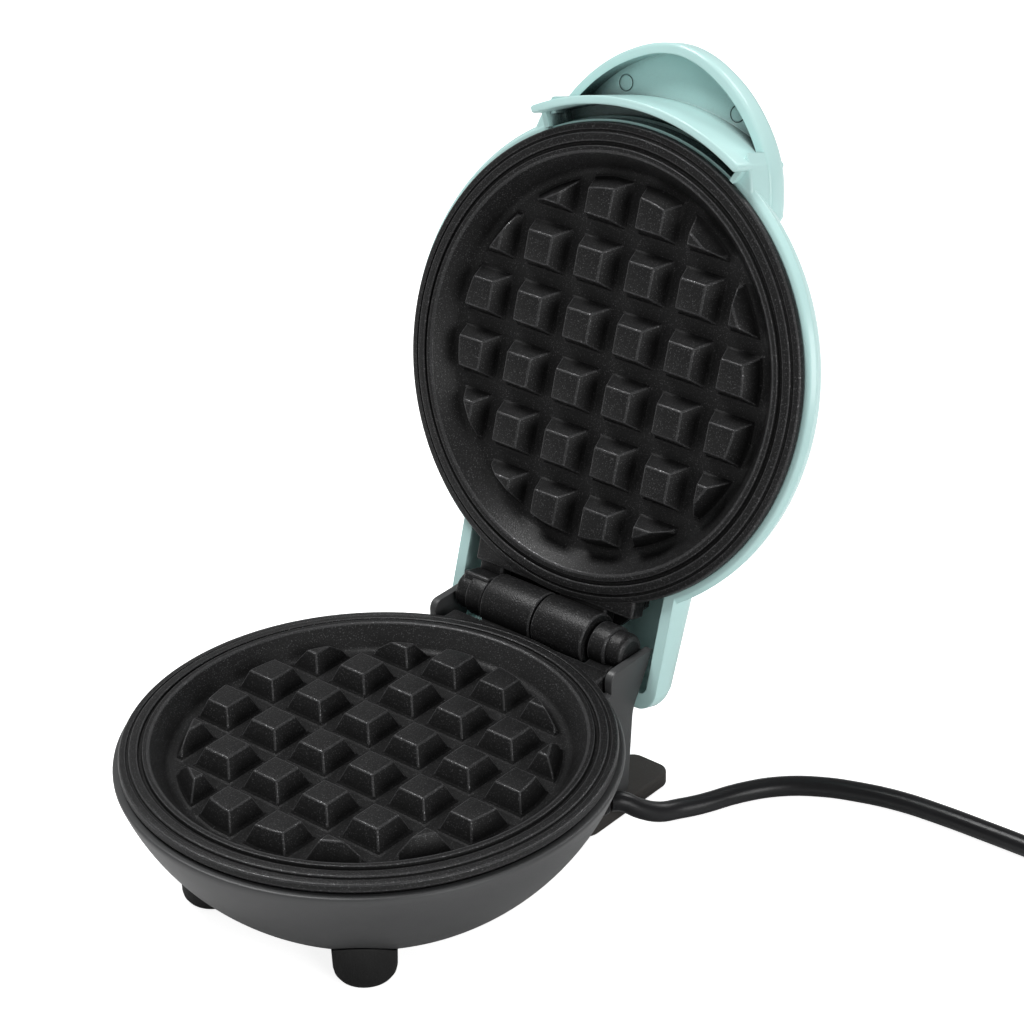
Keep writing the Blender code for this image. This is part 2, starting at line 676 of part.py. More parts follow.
def waffle_plate_mesh():
    plate = turned("waffle_plate", plate_outline(), None, collection=CUTTERS)
    join(plate, "plate_lattice", trimmed_lattice_mesh())
    tab_top = -HINGE_TAB_DROP
    tab_low = tab_top - HINGE_TAB_THICKNESS
    tab_back = HINGE_Y - KNUCKLE_R - SEAT_GAP - SEAT_GAP
    tab_side = TAB_HALF_WIDTH - SEAT_GAP
    join(plate, "plate_tab", box_mesh(
        "plate_tab", (-tab_side, CAVITY_RIM_R + SEAT_GAP, tab_low), (tab_side, tab_back, tab_top)))
    for number, (left, right) in enumerate(knuckle_spans()):
        web_top = tab_top + KNUCKLE_GAP
        join(plate, f"plate_web_{number}", box_mesh(
            "web", (left + SEAT_GAP * 2, tab_back - HINGE_TAB_THICKNESS, tab_low + SEAT_GAP),
            (right - SEAT_GAP * 2, HINGE_Y, web_top)))
        join(plate, f"plate_knuckle_{number}", cylinder_mesh(
            "knuckle", KNUCKLE_R, left, right, MIDDLE_STEPS, "X", (0.0, HINGE_Y, HINGE_AXIS_Z)))
    cut(plate, "plate_pin_hole", cylinder_mesh(
        "pin_hole", PIN_HOLE_R, -TAB_HALF_WIDTH - OVERRUN, TAB_HALF_WIDTH + OVERRUN, SMALL_STEPS, "X",
        (0.0, HINGE_Y, HINGE_AXIS_Z)))
    in_floor = PLATE_UNDER_Z + PLATE_FLOOR_THICKNESS / 2
    boss_low = PLATE_BOSS_LOW_Z
    for number, angle in enumerate(PLATE_BOSS_ANGLES_DEG):
        centre = (*polar(PLATE_BOSS_CIRCLE_R, angle), 0.0)
        join(plate, f"plate_boss_{number}", cylinder_mesh(
            "boss", PLATE_BOSS_R, boss_low, in_floor, SMALL_STEPS, centre=centre))
        cut(plate, f"plate_boss_hole_{number}", cylinder_mesh(
            "boss_hole", SCREW_HOLE_R, boss_low - OVERRUN, boss_low + PLATE_SCREW_DEPTH, SMALL_STEPS,
            centre=centre))
    clamp_seat = CLAMP_TOP_Z + SEAT_GAP
    for side in (-1, 1):
        centre = (side * CLAMP_BOSS_X, 0.0, 0.0)
        join(plate, f"clamp_boss_{side}", cylinder_mesh(
            "clamp_boss", CLAMP_BOSS_R, clamp_seat, in_floor, SMALL_STEPS, centre=centre))
        cut(plate, f"clamp_boss_hole_{side}", cylinder_mesh(
            "clamp_hole", SCREW_HOLE_R, CLAMP_TOP_Z - OVERRUN, clamp_seat + CLAMP_SCREW_DEPTH, SMALL_STEPS,
            centre=centre))
    return baked_mesh(plate)


# What is fastened under each plate

ELEMENT_Z = PLATE_UNDER_Z - SEAT_GAP - ELEMENT_R
CLAMP_TOP_Z = ELEMENT_Z - ELEMENT_R - SEAT_GAP
CLAMP_LOW_Z = CLAMP_TOP_Z - CLAMP_THICKNESS
CLAMP_SCREW_DEPTH = PLATE_UNDER_Z - CLAMP_TOP_Z - SEAT_GAP - SEAT_GAP


def element_points():
    """A nearly closed ring whose two ends turn to the back."""
    half_gap = ELEMENT_GAP_DEG / 2
    steps = MIDDLE_STEPS
    start, end = 90.0 + half_gap, 450.0 - half_gap
    ring = [polar(ELEMENT_CIRCLE_R, start + (end - start) * i / steps) for i in range(steps + 1)]
    first, last = ring[0], ring[-1]
    bend = ELEMENT_R
    ring = ring[1:-1]
    front = [(first[0], first[1] + ELEMENT_LEG), (first[0], first[1] + bend)]
    back = [(last[0], last[1] + bend), (last[0], last[1] + ELEMENT_LEG)]
    return [(x, y, ELEMENT_Z) for x, y in front + ring + back]


def element_leg_end():
    x, y = polar(ELEMENT_CIRCLE_R, 90.0 - ELEMENT_GAP_DEG / 2)
    return x, y + ELEMENT_LEG


def heating_set(prefix, frame, with_thermostat):
    """Heating element, its pins and clamp, and what watches the plate's heat."""
    tube(f"{prefix}_heating_element", element_points(), ELEMENT_R, frame, STEEL, resolution=1)
    leg_x, leg_y = element_leg_end()
    for word, side in (("left", -1), ("right", 1)):
        pin = cylinder_mesh(
            "pin", ELEMENT_PIN_R, leg_y + SEAT_GAP, leg_y + SEAT_GAP + ELEMENT_PIN_LENGTH, SMALL_STEPS, "Y",
            (side * leg_x, 0.0, ELEMENT_Z))
        shade_round(paint(make_object(f"{prefix}_element_pin_{word}", pin, frame), STEEL))
    half = CLAMP_LENGTH / 2
    clamp = make_object(f"{prefix}_clamp_bar", box_mesh(
        "clamp", (-half, -CLAMP_WIDTH / 2, CLAMP_LOW_Z), (half, CLAMP_WIDTH / 2, CLAMP_TOP_Z)), frame)
    paint(clamp, STEEL)
    for word, side in (("left", -1), ("right", 1)):
        place = (side * CLAMP_BOSS_X, 0.0, 0.0)
        cut(clamp, f"{prefix}_clamp_hole_{word}", cylinder_mesh(
            "hole", SCREW_HOLE_R, CLAMP_LOW_Z - OVERRUN, CLAMP_TOP_Z + OVERRUN, SMALL_STEPS, centre=place))
        head_top = CLAMP_LOW_Z - SEAT_GAP
        tip = CLAMP_TOP_Z + CLAMP_SCREW_DEPTH
        make_screw(f"{prefix}_clamp_screw_{word}", frame, place, head_top, tip, SMALL_SCREW_HEAD_HEIGHT)
    fuse = turned(f"{prefix}_thermal_fuse", [
        (0.0, FUSE_LENGTH / 2 + FUSE_END_LENGTH),
        (FUSE_END_R, FUSE_LENGTH / 2 + FUSE_END_LENGTH),
        (FUSE_END_R, FUSE_LENGTH / 2),
        (FUSE_R, FUSE_LENGTH / 2),
        (FUSE_R, -FUSE_LENGTH / 2),
        (FUSE_END_R, -FUSE_LENGTH / 2),
        (FUSE_END_R, -FUSE_LENGTH / 2 - FUSE_END_LENGTH),
        (0.0, -FUSE_LENGTH / 2 - FUSE_END_LENGTH),
    ], frame, SMALL_STEPS, (0.0, FUSE_Y, PLATE_UNDER_Z - SEAT_GAP - FUSE_R))
    fuse.rotation_euler = (0.0, math.radians(90.0), 0.0)
    paint(fuse, STEEL)
    if with_thermostat:
        top = PLATE_UNDER_Z - SEAT_GAP
        thermostat = turned(f"{prefix}_thermostat", [
            (0.0, top),
            (THERMOSTAT_R, top),
            (THERMOSTAT_R, top - THERMOSTAT_HEIGHT),
            (THERMOSTAT_NECK_R, top - THERMOSTAT_HEIGHT),
            (THERMOSTAT_NECK_R, top - THERMOSTAT_HEIGHT - THERMOSTAT_NECK_HEIGHT),
            (0.0, top - THERMOSTAT_HEIGHT - THERMOSTAT_NECK_HEIGHT),
        ], frame, MIDDLE_STEPS, (0.0, THERMOSTAT_Y, 0.0))
        paint(thermostat, CERAMIC_WHITE)
    shield = turned(f"{prefix}_heat_shield", [
        (SHIELD_HOLE_R, SHIELD_TOP_Z),
        (SHIELD_R, SHIELD_TOP_Z),
        (SHIELD_R, SHIELD_LOW_Z),
        (SHIELD_HOLE_R, SHIELD_LOW_Z),
    ], frame, MIDDLE_STEPS)
    shield.rotation_euler.z = math.radians(HOLLOW_TWIST_DEG)
    holes = [polar(PLATE_BOSS_CIRCLE_R, angle) for angle in PLATE_BOSS_ANGLES_DEG]
    holes += [polar(LID_POST_CIRCLE_R, angle) for angle in LID_POST_ANGLES_DEG]
    for number, (x, y) in enumerate(holes):
        cut(shield, f"{prefix}_shield_hole_{number}", cylinder_mesh(
            "hole", SCREW_HOLE_R, SHIELD_LOW_Z - OVERRUN, SHIELD_TOP_Z + OVERRUN, SMALL_STEPS,
            centre=(x, y, 0.0)))
    paint(shield, STEEL)


def make_screw(name, parent, place, head_top, tip, head_height):
    """A screw whose head is below its shank."""
    screw = turned(name, [
        (0.0, tip),
        (SCREW_SHANK_R, tip - SCREW_SHANK_R / 2),
        (SCREW_SHANK_R, head_top),
        (SCREW_HEAD_R, head_top),
        (SCREW_HEAD_R, head_top - head_height * 2 / 3),
        (SCREW_HEAD_R * 2 / 3, head_top - head_height),
        (0.0, head_top - head_height),
    ], parent, SMALL_STEPS, place)
    return paint(screw, STEEL)


# Base housing

RELIEF_PLACE = Vector((COLUMN_HALF_WIDTH, RELIEF_Y, RELIEF_Z))


def bowl_side(offset):
    """The bowl's curved side from its lip down to its flat bottom, moved out by offset."""
    top = Vector((LIP_R, LIP_Z - LIP_ROUND))
    low = Vector((BOWL_BOTTOM_R, BOWL_BOTTOM_Z + BOWL_CORNER / 2))
    chord = low - top
    rise = math.sqrt(BOWL_ARC_R ** 2 - chord.length_squared / 4)
    inward = Vector((chord.y, -chord.x)).normalized()
    centre = (top + low) / 2 + inward * rise
    start = math.atan2(top.y - centre.y, top.x - centre.x)
    end = math.atan2(low.y - centre.y, low.x - centre.x)
    steps = 6
    return [
        (centre.x + (BOWL_ARC_R + offset) * math.cos(start + (end - start) * i / steps),
         centre.y + (BOWL_ARC_R + offset) * math.sin(start + (end - start) * i / steps))
        for i in range(steps + 1)
    ]


def bowl_outline(offset):
    side = bowl_side(offset)
    bottom = BOWL_BOTTOM_Z - offset
    lip = [(0.0, LIP_Z), (LIP_R + offset - LIP_ROUND, LIP_Z)]
    return lip + side + [(BOWL_BOTTOM_R - BOWL_CORNER, bottom), (0.0, bottom)]


def bowl_hollow_outline():
    side = [point for point in bowl_side(-HOUSING_WALL) if point[1] > BOWL_BOTTOM_Z + HOUSING_WALL]
    mouth = PLATE_R - PLATE_SKIRT_TAPER + LIP_CLEARANCE
    side = [(min(radius, mouth), height) for radius, height in side]
    floor = BOWL_BOTTOM_Z + HOUSING_WALL
    above = [(0.0, LIP_Z + OVERRUN), (mouth, LIP_Z + OVERRUN)]
    return above + side + [(BOWL_BOTTOM_R - BOWL_CORNER, floor), (0.0, floor)]


def column_side():
    """The column seen from the side, with its slanted back below the hinge."""
    centre = (COLUMN_FRONT_Y + COLUMN_FRONT_ROUND, COLUMN_TOP_Z - COLUMN_FRONT_ROUND)
    front_top = corner_arc(centre, COLUMN_FRONT_ROUND, 90.0, 180.0, 3)
    return [
        (COLUMN_INNER_Y, COLUMN_BOTTOM_Z),
        (COLUMN_BACK_BOTTOM_Y, COLUMN_BOTTOM_Z),
        (COLUMN_BACK_BEND_Y, COLUMN_BACK_BEND_Z),
        (COLUMN_BACK_TOP_Y, COLUMN_TOP_Z),
        *front_top,
        (COLUMN_FRONT_Y, LIP_Z - LIP_ROUND),
        (COLUMN_INNER_Y, LIP_Z - LIP_ROUND),
    ]


def column_hollow_side():
    """The column's inside, which is open at the top and at the back above its back wall."""
    floor = COLUMN_BOTTOM_Z + COLUMN_FLOOR
    above = COLUMN_TOP_Z + OVERRUN
    behind = COLUMN_BACK_TOP_Y + OVERRUN
    slope = (COLUMN_BACK_TOP_Y - COLUMN_BACK_BEND_Y) / (COLUMN_TOP_Z - COLUMN_BACK_BEND_Z)
    wall_top_y = COLUMN_BACK_BEND_Y - COLUMN_WALL + slope * (COLUMN_BACK_WALL_TOP_Z - COLUMN_BACK_BEND_Z)
    front = COLUMN_INNER_Y + COLUMN_WALL
    return [
        (front, floor),
        (COLUMN_BACK_BOTTOM_Y - COLUMN_WALL, floor),
        (COLUMN_BACK_BEND_Y - COLUMN_WALL, COLUMN_BACK_BEND_Z),
        (wall_top_y, COLUMN_BACK_WALL_TOP_Z),
        (behind, COLUMN_BACK_WALL_TOP_Z),
        (behind, above),
        (front, above),
    ]


def build_housing(root):
    housing = turned("base_housing", bowl_outline(0.0), root)
    column = helper("column", side_outline_mesh("column", column_side(), COLUMN_HALF_WIDTH), root)
    round_edges(column, COLUMN_EDGE_ROUND, 2, 60.0)
    combine(housing, column, "UNION")
    hollow = turned("bowl_hollow", bowl_hollow_outline(), root, collection=CUTTERS)
    hollow.rotation_euler.z = math.radians(HOLLOW_TWIST_DEG)
    combine(housing, hollow, "DIFFERENCE")
    cut(housing, "column_hollow", side_outline_mesh(
        "column_hollow", column_hollow_side(), COLUMN_HALF_WIDTH - COLUMN_WALL))
    post_top = RIM_Z + SHIELD_LOW_Z - SEAT_GAP
    floor = BOWL_BOTTOM_Z + HOUSING_WALL
    under = BOWL_BOTTOM_Z - OVERRUN
    for number, angle in enumerate(PLATE_BOSS_ANGLES_DEG):
        x, y = polar(PLATE_BOSS_CIRCLE_R, angle)
        centre = (x, y, 0.0)
        join(housing, f"plate_post_{number}", cylinder_mesh(
            "post", PLATE_POST_R, BOWL_BOTTOM_Z + HOUSING_WALL / 3, post_top, SMALL_STEPS, centre=centre))
        cut(housing, f"plate_post_hole_{number}", cylinder_mesh(
            "post_hole", SCREW_HOLE_R, under, post_top + OVERRUN, SMALL_STEPS, centre=centre))
        cut(housing, f"plate_post_seat_{number}", cylinder_mesh(
            "post_seat", SCREW_HEAD_HOLE_R, under, PLATE_POST_SEAT_Z, SMALL_STEPS, centre=centre))
    for side in (-1, 1):
        cut(housing, f"spigot_hole_{side}", cylinder_mesh(
            "spigot_hole", FOOT_SPIGOT_R + SEAT_GAP, under, floor + OVERRUN, SMALL_STEPS,
            centre=(side * FRONT_FOOT_X, FRONT_FOOT_Y, 0.0)))
        boss = (side * REAR_FOOT_X, REAR_FOOT_SCREW_Y, 0.0)
        join(housing, f"foot_boss_{side}", cylinder_mesh(
            "foot_boss", FOOT_BOSS_R, COLUMN_BOTTOM_Z + COLUMN_FLOOR / 2, FOOT_BOSS_TOP_Z, SMALL_STEPS,
            centre=boss))
        cut(housing, f"foot_boss_hole_{side}", cylinder_mesh(
            "foot_boss_hole", SCREW_HOLE_R, COLUMN_BOTTOM_Z - OVERRUN, FOOT_BOSS_TOP_Z - SEAT_GAP * 3,
            SMALL_STEPS, centre=boss))
    turn = Matrix.Rotation(math.radians(RELIEF_TURN_DEG), 4, "Z")
    boss = cylinder_mesh(
        "relief_boss", RELIEF_BOSS_R, -COLUMN_WALL / 2, RELIEF_BOSS_REACH, SMALL_STEPS, "X")
    boss.transform(turn)
    join(housing, "relief_boss", boss, RELIEF_PLACE)
    hole = cylinder_mesh(
        "relief_hole", RELIEF_NECK_R + SEAT_GAP, -RELIEF_TAIL - OVERRUN * 2, RELIEF_BOSS_REACH + OVERRUN,
        SMALL_STEPS, "X")
    hole.transform(turn)
    cut(housing, "relief_hole", hole, RELIEF_PLACE)
    return paint(housing, HOUSING_GREY)


def build_plate_screws(root):
    head_top = PLATE_POST_SEAT_Z - SEAT_GAP
    tip = RIM_Z + PLATE_SCREW_TIP_Z
    for number, angle in enumerate(PLATE_BOSS_ANGLES_DEG, start=1):
        place = (*polar(PLATE_BOSS_CIRCLE_R, angle), 0.0)
        make_screw(f"lower_plate_screw_{number}", root, place, head_top, tip, SCREW_HEAD_HEIGHT)


# Feet

def build_feet(root):
    for word, side in (("left", -1), ("right", 1)):
        build_front_foot(word, side, root)
        build_rear_foot(word, side, root)


def build_front_foot(word, side, root):
    chamfer = FRONT_FOOT_ROUND * FRONT_FOOT_CHAMFER_SHARE
    foot = turned(f"front_foot_{word}", [
        (0.0, FRONT_FOOT_TOP_Z),
        (FRONT_FOOT_TOP_R, FRONT_FOOT_TOP_Z),
        (FRONT_FOOT_R, FRONT_FOOT_ROUND),
        (FRONT_FOOT_R - chamfer, chamfer),
        (FRONT_FOOT_R - FRONT_FOOT_ROUND, 0.0),
        (0.0, 0.0),
    ], root, MIDDLE_STEPS, (side * FRONT_FOOT_X, FRONT_FOOT_Y, 0.0))
    combine(foot, turned(f"foot_seat_{word}", bowl_outline(SEAT_GAP), root, collection=CUTTERS), "DIFFERENCE")
    join(foot, f"foot_spigot_{word}", cylinder_mesh(
        "spigot", FOOT_SPIGOT_R, FRONT_FOOT_ROUND, FOOT_SPIGOT_TOP_Z, SMALL_STEPS,
        centre=(side * FRONT_FOOT_X, FRONT_FOOT_Y, 0.0)))
    return paint(foot, FOOT_BLACK)


def build_rear_foot(word, side, root):
    centre_x = side * REAR_FOOT_X
    low = (centre_x - REAR_FOOT_WIDTH / 2, REAR_FOOT_FRONT_Y)
    high = (centre_x + REAR_FOOT_WIDTH / 2, REAR_FOOT_BACK_Y)
    outline = rounded_rectangle(low, high, REAR_FOOT_ROUND)
    mesh = outline_mesh("rear_foot", outline, 0.0, COLUMN_BOTTOM_Z - SEAT_GAP)
    foot = make_object(f"rear_foot_{word}", mesh, root)
    round_edges(foot, REAR_FOOT_EDGE, 1, 60.0)
    place = (centre_x, REAR_FOOT_SCREW_Y, 0.0)
    cut(foot, f"rear_foot_hole_{word}", cylinder_mesh(
        "hole", SCREW_HOLE_R, -OVERRUN, COLUMN_BOTTOM_Z + OVERRUN, SMALL_STEPS, centre=place))
    cut(foot, f"rear_foot_seat_{word}", cylinder_mesh(
        "seat", SCREW_HEAD_HOLE_R, -OVERRUN, REAR_FOOT_HEAD_DEPTH, SMALL_STEPS, centre=place))
    paint(foot, FOOT_BLACK)
    tip = FOOT_BOSS_TOP_Z - SEAT_GAP * 4
    make_screw(
        f"rear_foot_screw_{word}", root, place, REAR_FOOT_HEAD_DEPTH - SEAT_GAP, tip, SMALL_SCREW_HEAD_HEIGHT)


# Hinge pin and the cable that crosses the hinge

def around_hinge(angle_deg, radius=CABLE_HINGE_R):
    """A place beside the hinge's axis, at an angle from the back towards the top."""
    angle = math.radians(angle_deg)
    return Vector((CABLE_X, radius * math.cos(angle), radius * math.sin(angle)))


def build_hinge(root, lid):
    half = TAB_HALF_WIDTH - PIN_END_SET_BACK
    pin = cylinder_mesh("hinge_pin", PIN_R, -half, half, SMALL_STEPS, "X")
    shade_round(paint(make_object("hinge_pin", pin, root, HINGE), STEEL))
    lid_end = CABLE_LID_END_DEG
    element_height = RIM_GAP / 2 - ELEMENT_Z
    up = [
        around_hinge(lid_end),
        around_hinge(lid_end + 20.0),
        around_hinge(lid_end + 55.0, CABLE_HINGE_R + CABLE_SLEEVE_R),
        Vector((CABLE_X / 2, CABLE_LID_Y - HINGE_Y + CABLE_SLEEVE_R * 5, element_height)),
        Vector((0.0, CABLE_LID_Y - HINGE_Y + CABLE_SLEEVE_R * 2, element_height)),
        Vector((0.0, CABLE_LID_Y - HINGE_Y, element_height)),
    ]
    tube("lid_cable_sleeve", smooth(up, CABLE_SLEEVE_R * 4), CABLE_SLEEVE_R, lid, CORD_BLACK)
    base_end = lid_end - OPEN_ANGLE_DEG - CABLE_END_GAP_DEG
    wall_y = COLUMN_BACK_BOTTOM_Y - COLUMN_WALL - CABLE_SLEEVE_R * 2
    block_top = COLUMN_BOTTOM_Z + COLUMN_FLOOR + SEAT_GAP + TERMINAL_BLOCK_SIZE[2]
    down = [
        HINGE + around_hinge(base_end),
        HINGE + around_hinge(base_end - 15.0),
        Vector((CABLE_X, wall_y, COLUMN_BACK_BEND_Z)),
        Vector((CABLE_X, wall_y, (COLUMN_BACK_BEND_Z + block_top) / 2)),
        Vector((CABLE_X, TERMINAL_BLOCK_Y, block_top + CABLE_SLEEVE_R * 4)),
        Vector((CABLE_X, TERMINAL_BLOCK_Y, block_top + SEAT_GAP)),
    ]
    tube("base_cable_sleeve", smooth(down, CABLE_SLEEVE_R * 4), CABLE_SLEEVE_R, root, CORD_BLACK)


# Wiring in the base

def build_wiring(root):
    floor = COLUMN_BOTTOM_Z + COLUMN_FLOOR + SEAT_GAP
    length, depth, height = TERMINAL_BLOCK_SIZE
    block = make_object("terminal_block", box_mesh(
        "terminal_block",
        (TERMINAL_BLOCK_X - length / 2, TERMINAL_BLOCK_Y - depth / 2, floor),
        (TERMINAL_BLOCK_X + length / 2, TERMINAL_BLOCK_Y + depth / 2, floor + height)), root)
    paint(block, CERAMIC_WHITE)
    flange = RELIEF_BOSS_REACH + SEAT_GAP
    relief = turned("strain_relief", [
        (0.0, flange + RELIEF_FLANGE + RELIEF_TIP),
        (RELIEF_TIP_R, flange + RELIEF_FLANGE + RELIEF_TIP),
        (RELIEF_FLANGE_R, flange + RELIEF_FLANGE),
        (RELIEF_FLANGE_R, flange),
        (RELIEF_NECK_R, flange),
        (RELIEF_NECK_R, -RELIEF_TAIL),
        (0.0, -RELIEF_TAIL),
    ], root, SMALL_STEPS, RELIEF_PLACE)
    relief.rotation_euler = (0.0, math.radians(90.0), math.radians(RELIEF_TURN_DEG))
    shade_round(paint(relief, CORD_BLACK))
    back_x, back_y = polar(RELIEF_TAIL + SEAT_GAP, RELIEF_TURN_DEG)
    tail = RELIEF_PLACE - Vector((back_x, back_y, 0.0))
    along = Vector((*polar(LEAD_R * 3, RELIEF_TURN_DEG), 0.0))
    above = Vector((0.0, 0.0, LEAD_SPACING / 2))
    end_x = TERMINAL_BLOCK_X + length / 2 + SEAT_GAP
    for name, side in (("live_lead", -1), ("neutral_lead", 1)):
        start = tail + above * side
        end = Vector((end_x, TERMINAL_BLOCK_Y, RELIEF_Z)) + above * side
        before = end + Vector((LEAD_R * 3, 0.0, 0.0))
        tube(name, smooth([start, start - along, before, end], LEAD_R * 6), LEAD_R, root, COPPER)
    leg_x, leg_y = element_leg_end()
    pin_end = leg_y + SEAT_GAP + ELEMENT_PIN_LENGTH + SEAT_GAP
    pin_z = RIM_Z + ELEMENT_Z
    top = floor + height
    for word, side in (("left", -1), ("right", 1)):
        block_x = TERMINAL_BLOCK_X + side * length / 3
        points = [
            Vector((side * leg_x, pin_end, pin_z)),
            Vector((side * leg_x, pin_end + LEAD_R * 2, pin_z)),
            Vector(((side * leg_x + block_x) / 2, TERMINAL_BLOCK_Y + LEAD_R, (pin_z + top) / 2)),
            Vector((block_x, TERMINAL_BLOCK_Y, top + LEAD_R * 6)),
            Vector((block_x, TERMINAL_BLOCK_Y, top + SEAT_GAP)),
        ]
        tube(f"lower_element_lead_{word}", smooth(points, LEAD_R * 6), LEAD_R, root, COPPER)


# Lid

UPPER_RIM_Z = RIM_Z + RIM_GAP
HINGE = Vector((0.0, HINGE_Y, RIM_Z + RIM_GAP / 2))
FROM_HINGE = Vector((0.0, -HINGE_Y, -RIM_Z - RIM_GAP / 2))


def dome_side():
    """The dome's half section from the edge of its flat top down to its rim."""
    out = LID_BULGE_R - LID_TOP_FLAT_R
    down = LID_TOP_Z - LID_BULGE_Z
    return [Vector((LID_TOP_FLAT_R + out * x, LID_TOP_Z - down * z)) for x, z in DOME_SIDE_SHARES]


def moved_in(points, distance):
    """An open run of points moved to the right of its direction."""
    moved = []
    for i, point in enumerate(points):
        before = points[max(i - 1, 0)]
        after = points[min(i + 1, len(points) - 1)]
        along = (after - before).normalized()
        moved.append(point + Vector((along.y, -along.x)) * distance)
    return moved


def dome_outline():
    return [(0.0, LID_TOP_Z)] + [tuple(p) for p in dome_side()] + [(LID_RIM_R, LID_RIM_Z), (0.0, LID_RIM_Z)]


def dome_hollow_outline():
    inside = [tuple(p) for p in moved_in(dome_side(), LID_WALL)]
    mouth = LID_RIM_R - LID_WALL
    top = LID_TOP_Z - LID_WALL
    return [(0.0, top)] + inside + [(mouth, LID_RIM_Z - OVERRUN), (0.0, LID_RIM_Z - OVERRUN)]


def handle_outline(inset):
    """The handle seen from above, right to left round its front, moved in by inset."""
    length = HANDLE_TIP_Y - HANDLE_SIDE_Y
    right = [Vector((HANDLE_HALF_WIDTH * x, HANDLE_SIDE_Y + length * y)) for x, y in HANDLE_SIDE_SHARES]
    left = [Vector((-p.x, p.y)) for p in reversed(right[:-1])]
    return moved_in(right + left, inset)


def sector_mesh(name, inner, outer, low, high, half_angle_deg, steps=MIDDLE_STEPS):
    """A piece of a ring about the dome's axis, centred on the front."""
    start, end = 270.0 - half_angle_deg, 270.0 + half_angle_deg
    outside = corner_arc((0.0, 0.0), outer, start, end, steps)
    inside = corner_arc((0.0, 0.0), inner, end, start, steps)
    return outline_mesh(name, outside + inside, low, high)


def build_lid_shell(lid):
    shell = turned("lid_shell", dome_outline(), lid, location=FROM_HINGE)
    cover = helper("hinge_cover", box_mesh(
        "cover", (-COVER_HALF_WIDTH, COVER_FRONT_Y, LID_RIM_Z),
        (COVER_HALF_WIDTH, COVER_BACK_Y, COVER_TOP_Z)), lid, FROM_HINGE)
    round_top(cover, COVER_TOP_Z, COVER_ROUND, COVER_ROUND_STEPS)
    combine(shell, cover, "UNION")
    root_x = HANDLE_HALF_WIDTH - HANDLE_ROOT_SET_IN
    handle_root = [(-root_x, HANDLE_ROOT_Y), (root_x, HANDLE_ROOT_Y)]
    handle_points = [tuple(p) for p in handle_outline(0.0)] + handle_root
    handle = helper(
        "handle_body", outline_mesh("handle", handle_points, HANDLE_LOW_Z, HANDLE_TOP_Z), lid, FROM_HINGE)
    round_top(handle, HANDLE_TOP_Z, HANDLE_ROUND, HANDLE_ROUND_STEPS)
    combine(shell, handle, "UNION")
    join(shell, "front_lip", sector_mesh(
        "lip", LIP_INNER_R - LID_WALL, LIP_INNER_R + LIP_WALL, LIP_LOW_Z, HANDLE_TOP_Z - HANDLE_ROUND,
        LIP_HALF_ANGLE_DEG), FROM_HINGE)
    hollow = turned("dome_hollow", dome_hollow_outline(), lid, location=FROM_HINGE, collection=CUTTERS)
    hollow.rotation_euler.z = math.radians(HOLLOW_TWIST_DEG)
    combine(shell, hollow, "DIFFERENCE")
    cover_hollow = helper("cover_hollow", box_mesh(
        "cover_hollow", (-COVER_HALF_WIDTH + COVER_WALL, COVER_FRONT_Y, LID_RIM_Z - OVERRUN),
        (COVER_HALF_WIDTH - COVER_WALL, COVER_BACK_Y - COVER_WALL, COVER_TOP_Z - COVER_WALL)),
        lid, FROM_HINGE)
    round_top(cover_hollow, COVER_TOP_Z - COVER_WALL, COVER_ROUND - COVER_WALL, 2)
    combine(shell, cover_hollow, "DIFFERENCE")
    cut(shell, "lip_hollow", sector_mesh(
        "lip_hollow", LIP_HOLLOW_R, LIP_INNER_R, LIP_LOW_Z - OVERRUN, RECESS_TOP_Z,
        LIP_HALF_ANGLE_DEG - LIP_END_WALL_DEG), FROM_HINGE)
    recess = helper("handle_recess", outline_mesh(
        "recess", [tuple(p) for p in handle_outline(HANDLE_WALL)], HANDLE_LOW_Z - OVERRUN, RECESS_TOP_Z),
        lid, FROM_HINGE)
    combine(recess, helper("recess_back", cylinder_mesh(
        "recess_back", LIP_INNER_R + LIP_WALL + SEAT_GAP, HANDLE_LOW_Z - OVERRUN * 2, RECESS_TOP_Z + OVERRUN,
        BIG_STEPS), lid, FROM_HINGE), "DIFFERENCE")
    combine(shell, recess, "DIFFERENCE")
    for side in (-1, 1):
        cut(shell, f"recess_mark_{side}", cylinder_mesh(
            "mark", RECESS_MARK_R, RECESS_TOP_Z - OVERRUN, RECESS_TOP_Z + RECESS_MARK_DEPTH, SMALL_STEPS,
            centre=(side * RECESS_MARK_X, RECESS_MARK_Y, 0.0)), FROM_HINGE)
    post_low = UPPER_RIM_Z - SHIELD_LOW_Z + SEAT_GAP
    for number, angle in enumerate(LID_POST_ANGLES_DEG):
        x, y = polar(LID_POST_CIRCLE_R, angle)
        join(shell, f"lid_post_{number}", cylinder_mesh(
            "post", LID_POST_R, post_low, LID_TOP_Z - LID_WALL / 2, SMALL_STEPS, centre=(x, y, 0.0)),
            FROM_HINGE)
        cut(shell, f"lid_post_hole_{number}", cylinder_mesh(
            "post_hole", SCREW_HOLE_R, post_low - OVERRUN, post_low + LID_SCREW_DEPTH, SMALL_STEPS,
            centre=(x, y, 0.0)), FROM_HINGE)
    cut(shell, "lens_hole", cylinder_mesh(
        "lens_hole", LENS_R + SEAT_GAP, LID_TOP_Z - LID_WALL - OVERRUN, LID_TOP_Z + OVERRUN, SMALL_STEPS,
        centre=(0.0, LENS_Y, 0.0)), FROM_HINGE)
    return shade_round(paint(shell, LID_MINT))


